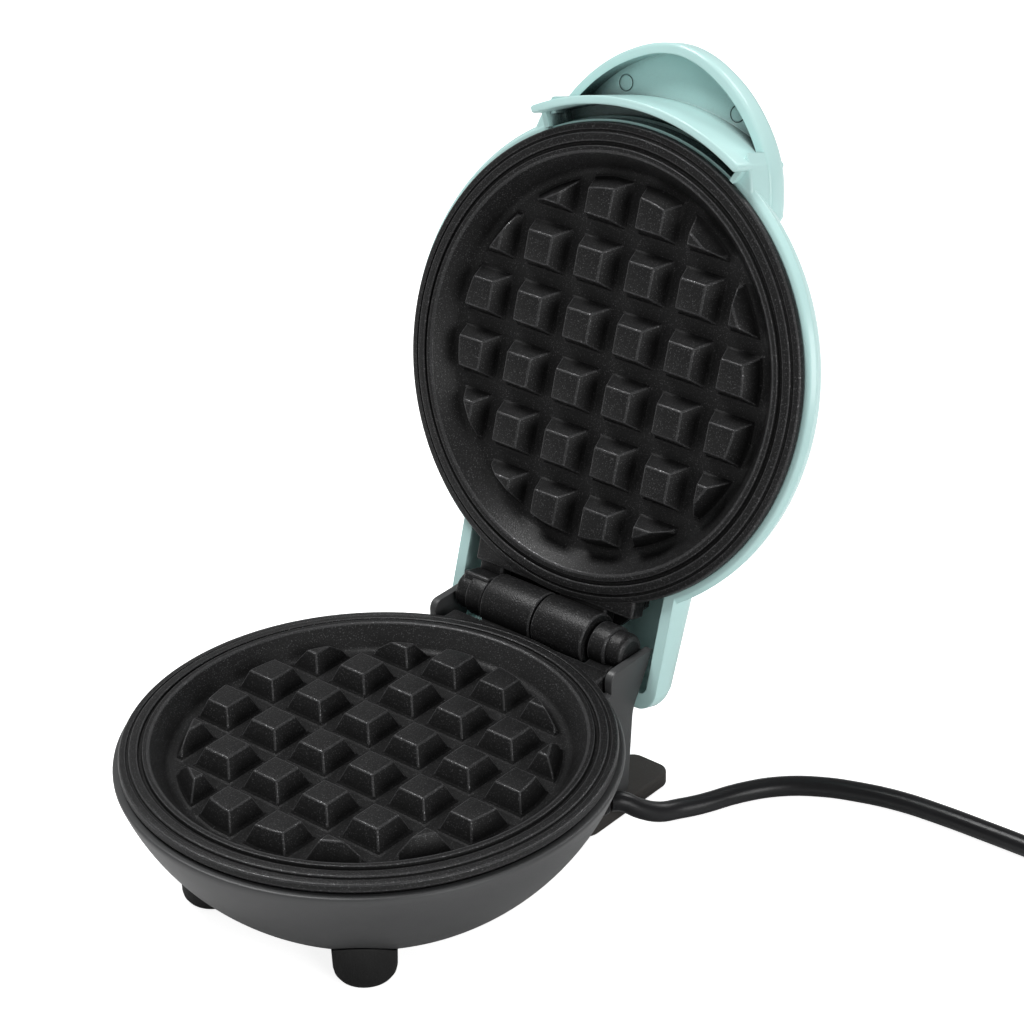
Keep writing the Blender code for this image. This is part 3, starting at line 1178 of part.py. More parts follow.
def round_top(obj, top_z, width, steps):
    """Round only the outer edges of the top face."""
    bm = bmesh.new()
    bm.from_mesh(obj.data)
    weight = bm.edges.layers.float.new("bevel_weight_edge")
    for edge in bm.edges:
        in_top = min(vertex.co.z for vertex in edge.verts) > top_z - SEAT_GAP
        outer = edge.calc_face_angle(0.0) > math.radians(45.0)
        edge[weight] = 1.0 if in_top and outer else 0.0
    bm.to_mesh(obj.data)
    bm.free()
    bevel = obj.modifiers.new("round top", "BEVEL")
    bevel.width = width
    bevel.segments = steps
    bevel.limit_method = "WEIGHT"


def build_lid_inside(lid):
    lens = turned("indicator_lens", [
        (0.0, LID_TOP_Z + LENS_PROUD),
        (LENS_R - LENS_PROUD, LID_TOP_Z + LENS_PROUD),
        (LENS_R, LID_TOP_Z),
        (LENS_R, LID_TOP_Z - LID_WALL - SEAT_GAP),
        (LENS_FLANGE_R, LID_TOP_Z - LID_WALL - SEAT_GAP),
        (LENS_FLANGE_R, LID_TOP_Z - LID_WALL - SEAT_GAP - LENS_FLANGE),
        (0.0, LID_TOP_Z - LID_WALL - SEAT_GAP - LENS_FLANGE),
    ], lid, SMALL_STEPS, FROM_HINGE + Vector((0.0, LENS_Y, 0.0)))
    shade_round(paint(lens, LENS_BLUE))
    lamp_top = LID_TOP_Z - LID_WALL - LENS_FLANGE - SEAT_GAP * 2
    lamp = cylinder_mesh("indicator_lamp", LAMP_R, lamp_top - LAMP_LENGTH, lamp_top, SMALL_STEPS,
                         centre=(0.0, LENS_Y, 0.0))
    shade_round(paint(make_object("indicator_lamp", lamp, lid, FROM_HINGE), CERAMIC_WHITE))
    post_low = UPPER_RIM_Z - SHIELD_LOW_Z + SEAT_GAP
    head_top = UPPER_RIM_Z - SHIELD_TOP_Z - SEAT_GAP
    for number, angle in enumerate(LID_POST_ANGLES_DEG, start=1):
        x, y = polar(LID_POST_CIRCLE_R, angle)
        make_screw(f"shield_screw_{number}", lid, FROM_HINGE + Vector((x, y, 0.0)), head_top,
                   post_low + LID_SCREW_DEPTH - SEAT_GAP, SMALL_SCREW_HEAD_HEIGHT)
    leg_x, leg_y = element_leg_end()
    start_y = leg_y + ELEMENT_PIN_LENGTH + SEAT_GAP * 2
    height = UPPER_RIM_Z - ELEMENT_Z
    for word, side in (("left", -1), ("right", 1)):
        points = [
            Vector((side * leg_x, start_y, height)),
            Vector((side * leg_x, start_y + LEAD_R, height)),
            Vector((side * (leg_x + LEAD_SPACING) / 2, (start_y + CABLE_LID_Y) / 2, height)),
            Vector((side * LEAD_SPACING / 2, CABLE_LID_Y - SEAT_GAP - LEAD_R * 2, height)),
            Vector((side * LEAD_SPACING / 2, CABLE_LID_Y - SEAT_GAP, height)),
        ]
        points = [point + FROM_HINGE for point in points]
        tube(f"upper_element_lead_{word}", smooth(points, LEAD_R * 6), LEAD_R, lid, COPPER)


def build_upper_plate_screws(frame):
    for number, angle in enumerate(PLATE_BOSS_ANGLES_DEG, start=1):
        x, y = polar(PLATE_BOSS_CIRCLE_R, angle)
        make_screw(f"upper_plate_screw_{number}", frame, (x, y, 0.0), SHIELD_LOW_Z - SEAT_GAP,
                   PLATE_SCREW_TIP_Z, SMALL_SCREW_HEAD_HEIGHT)


# Smooth routes

def smooth(points, step):
    """Points about every step along a Catmull-Rom curve through the given ones."""
    points = [Vector(p) for p in points]
    padded = [2 * points[0] - points[1]] + points + [2 * points[-1] - points[-2]]
    out = []
    for i in range(len(points) - 1):
        p0, p1, p2, p3 = padded[i:i + 4]
        count = max(1, round((p2 - p1).length / step))
        for k in range(count):
            t = k / count
            out.append(0.5 * (
                2 * p1 + (p2 - p0) * t + (2 * p0 - 5 * p1 + 4 * p2 - p3) * t ** 2
                + (3 * p1 - p0 - 3 * p2 + p3) * t ** 3))
    return out + [points[-1]]


# Cord, coil and plug

COIL_Z = TIE_THICKNESS + TIE_CLEARANCE + CORD_R


def cord_route():
    """The cord's own points, from the strain relief to the start of the coil."""
    return [Vector((RELIEF_PLACE.x + x, RELIEF_PLACE.y + y, z)) for x, y, z in CORD_ROUTE]


def coil_centre():
    """The coil's middle, so that its first turn goes on from the end of the route."""
    end = cord_route()[-1]
    return end.x + COIL_START_GAP + CORD_R * 2, end.y - COIL_OUTER_R


def coil_points():
    """Loops that spiral in on the floor, climb on themselves and spiral out again on top."""
    centre_x, centre_y = coil_centre()
    turns = COIL_TURNS_IN + COIL_TURNS_CLIMB + COIL_TURNS_OUT
    count = round(turns * COIL_POINTS_A_TURN)
    reverse = COIL_TURNS_IN + COIL_TURNS_CLIMB / 2
    points = []
    for i in range(count + 1):
        turn = i / COIL_POINTS_A_TURN
        climb = min(max((turn - COIL_TURNS_IN) / COIL_TURNS_CLIMB, 0.0), 1.0)
        radius = COIL_OUTER_R - COIL_TURN_STEP * min(turn, reverse * 2 - turn)
        x, y = polar(radius, 90.0 - 360.0 * turn)
        points.append(Vector((centre_x + x, centre_y + y, COIL_Z + COIL_LAYER_STEP * climb)))
    start = points[0] - Vector((CORD_R * 2, 0.0, 0.0))
    last = points[-1]
    end = Vector((last.x + COIL_TAIL, last.y, PLUG_SIZE[2] / 2))
    before = end - Vector((CORD_R * 2, 0.0, 0.0))
    middle = Vector(((last.x + before.x) / 2, last.y, (last.z + before.z) / 2))
    return [start] + points + [middle, before, end]


def least_self_gap(points, diameter):
    """The smallest space between stretches of the coil that aren't next to each other."""
    least = None
    for i, first in enumerate(points):
        for second in points[i + 1:]:
            if (second - first).length > diameter * 4:
                continue
            apart = sum((b - a).length for a, b in zip(points[i:], points[i + 1:points.index(second) + 1]))
            if apart > diameter * 6:
                gap = (second - first).length - diameter
                least = gap if least is None else min(least, gap)
    return least


def build_cord(root):
    route = smooth(cord_route(), CORD_POINT_STEP)
    tube("power_cord", route, CORD_R, root, CORD_BLACK)
    coil = coil_points()
    tube("cord_coil", coil, CORD_R, root, CORD_BLACK, resolution=1)
    print("cord length", round(sum((b - a).length for a, b in zip(route, route[1:])), 4),
          "coil length", round(sum((b - a).length for a, b in zip(coil, coil[1:])), 4),
          "least gap in the coil", round(least_self_gap(coil[:-3], CORD_R * 2), 5))
    inner = COIL_OUTER_R - COIL_TURN_STEP * COIL_TURNS_IN + COIL_TURN_STEP / 4
    outer = COIL_OUTER_R - COIL_TURN_STEP / 4
    reach = CORD_R + TIE_CLEARANCE
    centre_x, centre_y = coil_centre()
    low = (centre_x + inner - reach, COIL_Z - reach)
    high = (centre_x + outer + reach, COIL_Z + COIL_LAYER_STEP + reach)
    wall = Vector((TIE_THICKNESS, TIE_THICKNESS))
    stand = Matrix.Translation((0.0, centre_y, 0.0)) @ Matrix.Rotation(math.radians(90.0), 4, "X")
    tie = make_object("coil_tie", outline_mesh(
        "tie", rounded_rectangle(Vector(low) - wall, Vector(high) + wall, TIE_ROUND + TIE_THICKNESS),
        -TIE_WIDTH / 2, TIE_WIDTH / 2, stand), root)
    cut(tie, "tie_inside", outline_mesh(
        "tie_inside", rounded_rectangle(low, high, TIE_ROUND), -TIE_WIDTH, TIE_WIDTH, stand))
    paint(tie, CORD_BLACK)
    build_plug(root, coil[-1])


def build_plug(root, cord_end):
    length, width, height = PLUG_SIZE
    blade_length, blade_thickness, blade_height = BLADE_SIZE
    neck_start = cord_end.x + SEAT_GAP
    body_start = neck_start + PLUG_NECK
    body_end = body_start + length
    y, z = cord_end.y, cord_end.z
    plug = make_object("plug_body", box_mesh(
        "plug", (body_start, y - width / 2, 0.0), (body_end, y + width / 2, height)), root)
    round_edges(plug, PLUG_ROUND, 2)
    join(plug, "plug_neck", cylinder_mesh(
        "neck", PLUG_NECK_R, neck_start, body_start + PLUG_ROUND * 2, SMALL_STEPS, "X", (0.0, y, z)))
    for word, side in (("near", -1), ("far", 1)):
        blade_y = y + side * BLADE_SPACING / 2
        reach = blade_thickness + OVERRUN
        blade = make_object(f"plug_blade_{word}", box_mesh(
            "blade",
            (body_end + SEAT_GAP, blade_y - blade_thickness / 2, z - blade_height / 2),
            (body_end + SEAT_GAP + blade_length, blade_y + blade_thickness / 2, z + blade_height / 2)), root)
        cut(blade, f"blade_hole_{word}", cylinder_mesh(
            "blade_hole", BLADE_HOLE_R, blade_y - reach, blade_y + reach, SMALL_STEPS, "Y",
            (body_end + SEAT_GAP + blade_length * 3 / 4, 0.0, z)))
        paint(blade, STEEL)
    paint(plug, CORD_BLACK)


# Whole machine

def centre_on_origin(root, loose_words):
    """Move the machine along Y until the middle of its bounds, without cord and plug, is at the origin."""
    bpy.context.view_layer.update()
    graph = bpy.context.evaluated_depsgraph_get()
    places = []
    for obj in PARTS.objects:
        if obj.type == "MESH" and not obj.name.startswith(loose_words):
            evaluated = obj.evaluated_get(graph)
            places += [obj.matrix_world @ vertex.co for vertex in evaluated.data.vertices]
    lows = [min(place[axis] for place in places) for axis in range(3)]
    highs = [max(place[axis] for place in places) for axis in range(3)]
    root.location.y -= (lows[1] + highs[1]) / 2
    hinge_y = root.location.y + HINGE_Y
    print("bounds", [round(v, 5) for v in lows], [round(v, 5) for v in highs])
    print("root y", round(root.location.y, 6), "hinge", round(hinge_y, 6), round(HINGE.z, 6))


def main():
    root = make_empty("waffle_maker", (0.0, 0.0, 0.0))
    lower = make_empty("lower_plate_frame", (0.0, 0.0, RIM_Z), root)
    lid = make_empty("lid_hinge_axis", HINGE, root, (-math.radians(OPEN_ANGLE_DEG), 0.0, 0.0))
    upper = make_empty("upper_plate_frame", FROM_HINGE + Vector((0.0, 0.0, UPPER_RIM_Z)), lid,
                       (0.0, math.radians(180.0), 0.0))
    plate_mesh = waffle_plate_mesh()
    shade_round(paint(make_object("lower_plate", plate_mesh, lower), COATED_METAL), 25.0)
    shade_round(paint(make_object("upper_plate", plate_mesh.copy(), upper), COATED_METAL), 25.0)
    build_housing(root)
    build_plate_screws(root)
    build_feet(root)
    build_hinge(root, lid)
    build_wiring(root)
    heating_set("lower", lower, True)
    heating_set("upper", upper, False)
    build_lid_shell(lid)
    build_lid_inside(lid)
    build_upper_plate_screws(upper)
    build_cord(root)
    centre_on_origin(root, ("power_cord", "cord_coil", "coil_tie", "plug"))


clear_scene()
PARTS = make_collection("waffle_maker_parts")
CUTTERS = make_collection("waffle_maker_cutters")
main()
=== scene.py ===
"""Round mini waffle maker, dressed: cast plates, moulded lid and housing, feet, hinge and cord.

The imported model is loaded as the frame.  Pieces are modelled with the lid closed, about the plates' own
axis, and the lid's pieces are then turned to the opened angle about the hinge.  Lengths are in metres.
"""
import json
import math

import bmesh
import bpy
from bpy.props import FloatProperty, FloatVectorProperty, PointerProperty
from mathutils import Matrix, Vector


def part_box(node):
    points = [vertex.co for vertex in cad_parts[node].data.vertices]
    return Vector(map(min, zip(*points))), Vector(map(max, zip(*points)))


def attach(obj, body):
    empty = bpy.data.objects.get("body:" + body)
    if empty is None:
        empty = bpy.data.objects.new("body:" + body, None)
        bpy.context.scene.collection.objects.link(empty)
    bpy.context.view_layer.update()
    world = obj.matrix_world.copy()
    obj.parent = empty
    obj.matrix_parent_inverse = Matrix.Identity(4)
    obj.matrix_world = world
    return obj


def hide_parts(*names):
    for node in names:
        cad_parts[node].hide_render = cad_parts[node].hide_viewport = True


bl_info = {
    "name": "Round Mini Waffle Maker",
    "version": (1, 0, 0),
    "blender": (4, 5, 0),
    "location": "View3D > Sidebar > Waffle Maker",
    "description": "Builds the plates, lid, housing, feet, hinge and cord of a small round waffle maker",
    "category": "Add Mesh",
}

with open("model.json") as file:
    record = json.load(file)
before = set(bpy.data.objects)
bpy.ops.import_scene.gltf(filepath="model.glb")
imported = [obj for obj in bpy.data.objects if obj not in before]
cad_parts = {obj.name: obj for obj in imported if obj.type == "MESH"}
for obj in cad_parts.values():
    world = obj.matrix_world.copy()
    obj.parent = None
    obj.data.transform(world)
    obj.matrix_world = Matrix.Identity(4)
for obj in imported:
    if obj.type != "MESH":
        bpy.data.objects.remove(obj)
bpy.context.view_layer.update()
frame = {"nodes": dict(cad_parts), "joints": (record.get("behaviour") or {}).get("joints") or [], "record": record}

# The hinge as packed, and the plates' axis in front of it
HINGE = Vector(frame["joints"][0]["pos_m"])
OPEN_ANGLE = -math.radians(frame["joints"][0]["range_deg"][0])
HINGE_Y = 0.0675
AXIS_Y = HINGE.y - HINGE_Y
TO_BASE = Matrix.Translation((0.0, AXIS_Y, 0.0))
TO_OPEN_LID = (Matrix.Translation(HINGE) @ Matrix.Rotation(-OPEN_ANGLE, 4, "X")
               @ Matrix.Translation(-HINGE) @ TO_BASE)

# Screw holes, and how far a cutter reaches past the face that it opens
SCREW_HOLE_R = 0.0018
SCREW_HEAD_R = 0.0035
PAST = 0.0020
FIT_GAP = 0.0003
TINY = 1e-6

# Plates: heights are from the rim's plane; sections are (radius, height, rounding) points
LOWER_RIM_Z = 0.0410
UPPER_RIM_Z = 0.0420
TO_LOWER_PLATE = TO_BASE @ Matrix.Translation((0.0, 0.0, LOWER_RIM_Z))
TO_UPPER_PLATE = (TO_OPEN_LID @ Matrix.Translation((0.0, 0.0, UPPER_RIM_Z))
                  @ Matrix.Rotation(math.radians(180.0), 4, "Y"))
CELLS_ACROSS = 6
PITCH = 0.0160
CELL_TOP_SIDE = 0.0077
CELL_BASE_SIDE = 0.0120
CELL_TOP_Z = -0.0004
FLOOR_Z = -0.0057
CELL_SINK = 0.0008
FIELD_TOP_R = 0.0441
FIELD_BASE_R = 0.0466
FOOT_FLARES = ((0.00028, 0.00075), (0.00075, 0.00028))
PLATE_SECTION = (
    (0.0, FLOOR_Z, 0.0),
    (0.0486, FLOOR_Z, 0.0012),
    (0.0529, 0.0, 0.0005),
    (0.0544, 0.0, 0.0002),
    (0.0546, -0.0011, 0.0002),
    (0.0554, -0.0011, 0.0002),
    (0.0556, -0.0003, 0.0003),
    (0.05775, -0.0005, 0.0003),
    (0.0578, -0.0013, 0.0002),
    (0.0584, -0.0013, 0.0001),
    (0.0585, -0.0009, 0.0002),
    (0.0602, -0.0012, 0.0004),
    (0.0604, -0.0029, 0.0003),
    (0.0592, -0.0041, 0.0002),
    (0.0592, -0.0052, 0.0002),
    (0.0580, -0.0052, 0.0002),
    (0.0580, -0.0040, 0.0002),
    (0.0557, -0.0040, 0.0),
    (0.0516, -0.0082, 0.0005),
    (0.0, -0.0082, 0.0),
)
KNUCKLE_R = 0.0071
KNUCKLE_Z = 0.0005
KNUCKLE_SPAN = (-0.0165, -0.0003)
KNUCKLE_ROUND = 0.0005
EAR_R = 0.0057
EAR_SPAN = (0.0175, 0.0228)
EAR_ROUND = 0.0006
EAR_END_R = 0.0050
EAR_END = 0.0272
EAR_END_ROUND = 0.0016
EAR_END_LAP = 0.0004
EAR_END_INSET = 0.0012
PIN_HOLE_R = 0.0020
PIN_R = 0.0017
PIN_HALF_LENGTH = 0.0267
TAB_OUTLINE = ((0.0269, 0.0532), (0.0269, 0.0598), (-0.0242, 0.0598), (-0.0242, 0.0532))
TAB_Z = (-0.0063, -0.0013)
TAB_ROUND = 0.0006
APRON_OUTLINE = ((0.0269, 0.0530), (0.0269, 0.0643), (-0.0175, 0.0643), (-0.0242, 0.0570), (-0.0242, 0.0530))
APRON_Z = (-0.0079, -0.0062)
WEB_FRONT_Y = 0.0548
WEB_Z = (-0.0060, -0.0016)
WEB_INSET = 0.0006
LUG_Y = 0.0619
LUG_Z = (-0.0055, 0.0040)
LUG_ROUND = 0.0007
BOSS_R = 0.0040
BOSS_LOW_Z = -0.0192
BOSS_ROOT_Z = -0.0070
BOSS_ROUND = 0.0003
BOSS_CIRCLE_R = 0.0365
BOSS_ANGLES = (270.0, 30.0, 150.0)
BOSS_HOLE_DEPTH = 0.0042
CLAMP_BOSS_R = 0.0035
CLAMP_BOSS_X = 0.0170
CLAMP_BOSS_LOW_Z = -0.0145
CLAMP_HOLE_TOP_Z = -0.0085

# Housing: a bowl with a column behind it
LIP_R = 0.0618
LIP_Z = 0.0370
BOWL_ARC_R = 0.0610
BOWL_BOTTOM_R = 0.0425
BOWL_BOTTOM_Z = 0.0075
BOWL_WALL = 0.0020
BOWL_MOUTH_R = 0.0596
COLUMN_HALF_WIDTH = 0.0300
COLUMN_WALL = 0.0022
COLUMN_LOW_Z = 0.00435
COLUMN_INNER_Y = 0.0400
COLUMN_SIDE = (
    (COLUMN_INNER_Y, COLUMN_LOW_Z, 0.0),
    (0.0629, COLUMN_LOW_Z, 0.0012),
    (0.0650, 0.0277, 0.0020),
    (0.0733, 0.0416, 0.0008),
    (0.0563, 0.0416, 0.0024),
    (0.0563, 0.0360, 0.0),
    (COLUMN_INNER_Y, 0.0360, 0.0),
)
COLUMN_HOLLOW_SIDE = (
    (COLUMN_INNER_Y + COLUMN_WALL, 0.00605, 0.0010),
    (0.0607, 0.00605, 0.0010),
    (0.0628, 0.0277, 0.0),
    (0.0648, 0.0310, 0.0004),
    (0.0800, 0.0310, 0.0),
    (0.0800, 0.0450, 0.0),
    (COLUMN_INNER_Y + COLUMN_WALL, 0.0450, 0.0),
)
POST_R = 0.0050
POST_TOP_Z = 0.0207
POST_LOW_Z = BOWL_BOTTOM_Z + 0.0007
POST_SEAT_Z = 0.0140
UNDER_BOWL_Z = 0.0050
FOOT_BOSS_R = 0.0040
FOOT_BOSS_Z = (0.0052, 0.0120)
FOOT_HOLE_Z = (0.0020, 0.0111)
RELIEF_PLACE = Vector((COLUMN_HALF_WIDTH, 0.0470, 0.0090))
RELIEF_TURN = math.radians(45.0)
RELIEF_BOSS_R = 0.0044
RELIEF_BOSS_ROOT = -0.0011
RELIEF_BOSS_REACH = 0.0030
RELIEF_BOSS_ROUND = 0.0006
RELIEF_HOLE_R = 0.0025
RELIEF_HOLE_SPAN = (-0.0070, 0.0050)

# Feet
FRONT_FOOT_PLACES = {"left": (-0.0250, -0.0311), "right": (0.0250, -0.0311)}
FRONT_FOOT_SECTION = (
    (0.0, 0.0150, 0.0),
    (0.0081, 0.0150, 0.0),
    (0.0076, 0.0, 0.0030),
    (0.0, 0.0, 0.0),
)
SPIGOT_R = 0.0030
SPIGOT_Z = (0.0030, 0.0130)
SPIGOT_ROUND = 0.0004
SPIGOT_HOLE_TOP_Z = 0.0120
REAR_FOOT_X = 0.02545
REAR_FOOT_Y = (0.0440, 0.0782)
REAR_FOOT_HALF_WIDTH = 0.00675
REAR_FOOT_HEIGHT = 0.00405
REAR_FOOT_ROUND = 0.0037
REAR_FOOT_RIM_ROUND = 0.0006
REAR_FOOT_SCREW_Y = 0.0585
REAR_FOOT_HEAD_DEPTH = 0.0020

# Lid, drawn closed: heights are from the table
DOME_RIM_R = 0.0617
DOME_MOUTH_R = 0.0601
DOME_RIM_Z = 0.0453
DOME_BULGE_R = 0.0627
DOME_BULGE_Z = 0.0467
DOME_FLAT_R = 0.0300
DOME_TOP_Z = 0.0710
DOME_WALL = 0.0021
DOME_SIDE = (
    (0.000, 0.000),
    (0.159, 0.016),
    (0.330, 0.070),
    (0.496, 0.173),
    (0.648, 0.321),
    (0.783, 0.514),
    (0.892, 0.700),
    (0.975, 0.877),
    (1.000, 1.000),
)
COVER_LOW = (-0.0343, 0.0300, DOME_RIM_Z)
COVER_HIGH = (0.0343, 0.0817, 0.0600)
COVER_FALL = 0.0035
COVER_WALL = 0.0031
COVER_HOLLOW_Y = 0.0777
COVER_TOP_ROUND = 0.0075
COVER_CORNER_ROUND = 0.0050
BAND_INNER_R = 0.0646
BAND_OUTER_R = 0.0667
BAND_LOW_Z = 0.0400
BAND_END_R = 0.0608
BAND_END_LOW_Z = 0.0436
BAND_END_ANGLE = 27.4
BAND_HALF_ANGLE = 29.0
BAND_ROUND = 0.0009
BAND_RIM_ROUND = 0.0004
GROOVE_R = (0.0609, 0.0640)
GROOVE_TOP_Z = 0.0500
SHOULDER_Y = (-0.0612, -0.0472)
SHOULDER_R = 0.0560
SHOULDER_LOW_Z = 0.0455
SHOULDER_ROUND = 0.0008
HANDLE_HALF_WIDTH = 0.0355
HANDLE_TIP_Y = -0.0810
HANDLE_SIDE_Y = -0.0460
HANDLE_ROOT = (0.0340, -0.0420)
HANDLE_LOW_Z = 0.0528
HANDLE_TOP_Z = 0.0620
HANDLE_TOP_ROUND = 0.0045
HANDLE_LOW_ROUND = 0.0010
HANDLE_WALL = 0.0027
HANDLE_SIDE = (
    (1.000, 0.000),
    (0.975, 0.150),
    (0.930, 0.309),
    (0.865, 0.441),
    (0.770, 0.575),
    (0.645, 0.708),
    (0.500, 0.823),
    (0.321, 0.923),
    (0.160, 0.979),
    (0.000, 1.000),
)
RECESS_TOP_Z = 0.0580
RECESS_BACK_R = 0.0655
MARK_PLACES = ((-0.0173, -0.0675), (0.0173, -0.0675))
MARK_R = 0.0022
MARK_RING = 0.0003
MARK_DEPTH = 0.0003
LID_POST_R = 0.0040
LID_POST_CIRCLE_R = 0.0300
LID_POST_ANGLES = (90.0, 210.0, 330.0)
LID_POST_LOW_Z = 0.0623
LID_POST_HOLE_DEPTH = 0.0040
LENS_Y = -0.0200
LENS_R = 0.0030
LENS_HOLE_Z = (0.0650, 0.0730)
LENS_SECTION = (
    (0.0, DOME_TOP_Z + 0.0008, 0.0),
    (0.0022, DOME_TOP_Z + 0.0008, 0.0008),
    (LENS_R, DOME_TOP_Z + 0.0001, 0.0002),
    (LENS_R, DOME_TOP_Z - 0.0024, 0.0),
    (0.0042, DOME_TOP_Z - 0.0024, 0.0001),
    (0.0042, DOME_TOP_Z - 0.0034, 0.0001),
    (0.0, DOME_TOP_Z - 0.0034, 0.0),
)

# Cable through the hinge, as (x, y from the hinge's axis, z from it) or from the plates' axis
SLEEVE_R = 0.0012
SLEEVE_X = 0.0080
SLEEVE_HINGE_R = 0.0086
SLEEVE_LID_END = ((SLEEVE_X / 2, 0.0575, 0.0535), (0.0, 0.0539, 0.0535), (0.0, 0.0515, 0.0535))
SLEEVE_BASE_END = (
    (SLEEVE_X, 0.0583, 0.0277),
    (SLEEVE_X, 0.0583, 0.0210),
    (SLEEVE_X, 0.0525, 0.0192),
    (SLEEVE_X, 0.0525, 0.0147),
)

# Cord: where it lies as (x, y) from where it leaves the wall and the height above the table, then its coil
CORD_R = 0.0026
CORD_ROUTE = (
    (0.0040, 0.0040, 0.0090),
    (0.0056, 0.0056, 0.0089),
    (0.0088, 0.0092, 0.0061),
    (0.0114, 0.0140, 0.0036),
    (0.0136, 0.0192, 0.0027),
    (0.0167, 0.0242, 0.0027),
    (0.0215, 0.0345, 0.0027),
    (0.0277, 0.0431, 0.0027),
    (0.0358, 0.0493, 0.0027),
    (0.0452, 0.0535, 0.0027),
    (0.0553, 0.0564, 0.0027),
    (0.0665, 0.0578, 0.0027),
    (0.0800, 0.0586, 0.0027),
    (0.1000, 0.0594, 0.0027),
    (0.1200, 0.0600, 0.0027),
    (0.1400, 0.0604, 0.0028),
    (0.1550, 0.0605, 0.0038),
    (0.1690, 0.0605, 0.0040),
)
COIL_PLACE = Vector((0.2046, 0.0755, 0.0039))
COIL_OUTER_R = 0.0320
COIL_TURN_STEP = 0.0062
COIL_LAYER_STEP = 0.0060
COIL_TURNS_IN = 1.5
COIL_TURNS_CLIMB = 0.5
COIL_TURNS_OUT = 1.0
COIL_POINTS_A_TURN = 24
COIL_TAIL = 0.0260
BUSHING_FLANGE = RELIEF_BOSS_REACH + 0.0003
BUSHING_SECTION = (
    (0.0, BUSHING_FLANGE + 0.0018, 0.0),
    (0.0027, BUSHING_FLANGE + 0.0018, 0.0001),
    (0.0030, BUSHING_FLANGE + 0.0016, 0.0002),
    (0.0032, BUSHING_FLANGE + 0.0010, 0.0),
    (0.0035, BUSHING_FLANGE + 0.0009, 0.0002),
    (0.0035, BUSHING_FLANGE, 0.0002),
    (0.0022, BUSHING_FLANGE, 0.0),
    (0.0022, -0.0030, 0.0004),
    (0.0, -0.0030, 0.0),
)
PLUG_SIZE = (0.0270, 0.0240, 0.0170)
PLUG_ROUND = 0.0030
PLUG_GAP = 0.0003
PLUG_NECK = 0.0110
PLUG_NECK_R = 0.0046
PLUG_RIBS = 4
PLUG_RIB_TAPER = 0.0003
PLUG_RIB_EDGE = 0.0004
PLUG_RIB_ROUND = 0.0002
PLUG_RIB_DEPTH = 0.0006
GRIPS = 5
GRIP_X = (0.0050, 0.0062)
GRIP_STEP = 0.0028
GRIP_HALF_WIDTH = 0.0085
GRIP_DEPTH = 0.0003
BLADE_SIZE = (0.0160, 0.0015, 0.0063)
BLADE_SPACING = 0.0127
BLADE_HOLE_R = 0.0016
BLADE_ROUND = 0.0003
TIE_THICKNESS = 0.0008
TIE_WIDTH = 0.0050
TIE_ROUND = 0.0030

# Narrow outward faces that count as ridges, by width and by turn in degrees
RIDGE_WIDTH = 0.00042
RIDGE_LEAST_TURN = 6.0

# Creases in the shading are sharper than this, in degrees
CREASE_ANGLE = 35.0

# The plates' coat: a cavity is (reach, deep, open); the tones are painted shade in hollows, the coat on open faces,
# pale flecks with painted glints on specks, and painted glints over worn coat on ridges
COAT_PEBBLE_SIZE = 0.00032
COAT_DEPTH = 0.00005
# The least strength of the ridges' painted glint over worn coat, away from the specks
COAT_LEAST_GLINT_AND_WEAR = 0.15
COAT_CAVITY = (0.0080, 0.35, 0.97)
COAT_PAINTED_TONES = (0.12, 1.15, 9.0, 20.0)
COAT_ROUGHNESS = (0.66, 0.38)
COAT_SHEEN = 0.20

# How finely round things are made
ROUND_STEPS = 160
MIDDLE_STEPS = 64
SMALL_STEPS = 32
BOWL_STEPS = 24

# Stage: lights are (name, place, size, power); the sky is (on the object, towards the camera)
FLOOR_R = 4.0
FLOOR_GLOW = 0.85
LIGHTS = (
    ("key", (-0.7, -0.2, 1.8), 0.8, 27.0),
    ("side", (2.0, -0.5, 0.7), 1.1, 18.5),
    ("back", (0.2, 1.5, 1.3), 0.7, 10.0),
)
LIT_PLACE = Vector((0.0, 0.0, 0.05))
SKY_STRENGTHS = (0.32, 1.0)

# Camera, about the plates' axis
CAMERA_PLACE = Vector((0.4494, -0.4706, 0.4606))
CAMERA_AZIMUTH = math.radians(40.537)
CAMERA_ELEVATION = math.radians(28.932)
CAMERA_ROLL = math.radians(-1.262)
CAMERA_LENS = 112.70
CAMERA_SENSOR = 36.0


# Sizes and colours that a user would change

def colour_property(name, description, default):
    return FloatVectorProperty(name=name, description=description, subtype="COLOR", size=3, min=0.0, max=1.0,
                               default=default)


class WaffleMakerSizes(bpy.types.PropertyGroup):
    """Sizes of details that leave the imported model's shape as it is"""
    cell_rounding: FloatProperty(
        name="Cell Rounding", description="Rounding of the edges of the plates' cells", default=0.0004,
        min=0.0001, max=0.0009, precision=5, unit="LENGTH")
    cover_corner: FloatProperty(
        name="Cover Corner", description="Rounding of the upright corners of the hinge cover",
        default=COVER_CORNER_ROUND, min=0.0010, max=0.0060, precision=5, unit="LENGTH")
    column_corner: FloatProperty(
        name="Column Corner", description="Rounding of the upright edges of the column", default=0.0012,
        min=0.0004, max=0.0020, precision=5, unit="LENGTH")


class WaffleMakerColours(bpy.types.PropertyGroup):
    """Colours of the finishes"""
    lid: colour_property("Lid", "The lid's plastic", (0.52, 0.765, 0.745))
    housing: colour_property("Housing", "The housing's plastic", (0.046, 0.047, 0.048))
    plates: colour_property("Plates", "The plates' coating", (0.0085, 0.0085, 0.0087))
    cord: colour_property("Cord", "The cord's and plug's jacket", (0.007, 0.007, 0.008))


# Meshes from bmesh operators

def bmesh_of(mesh):
    bm = bmesh.new()
    bm.from_mesh(mesh)
    return bm


def stored(bm, mesh):
    bm.to_mesh(mesh)
    bm.free()
    return mesh


def mesh_from(bm, name):
    bmesh.ops.recalc_face_normals(bm, faces=bm.faces)
    return stored(bm, bpy.data.meshes.new(name))


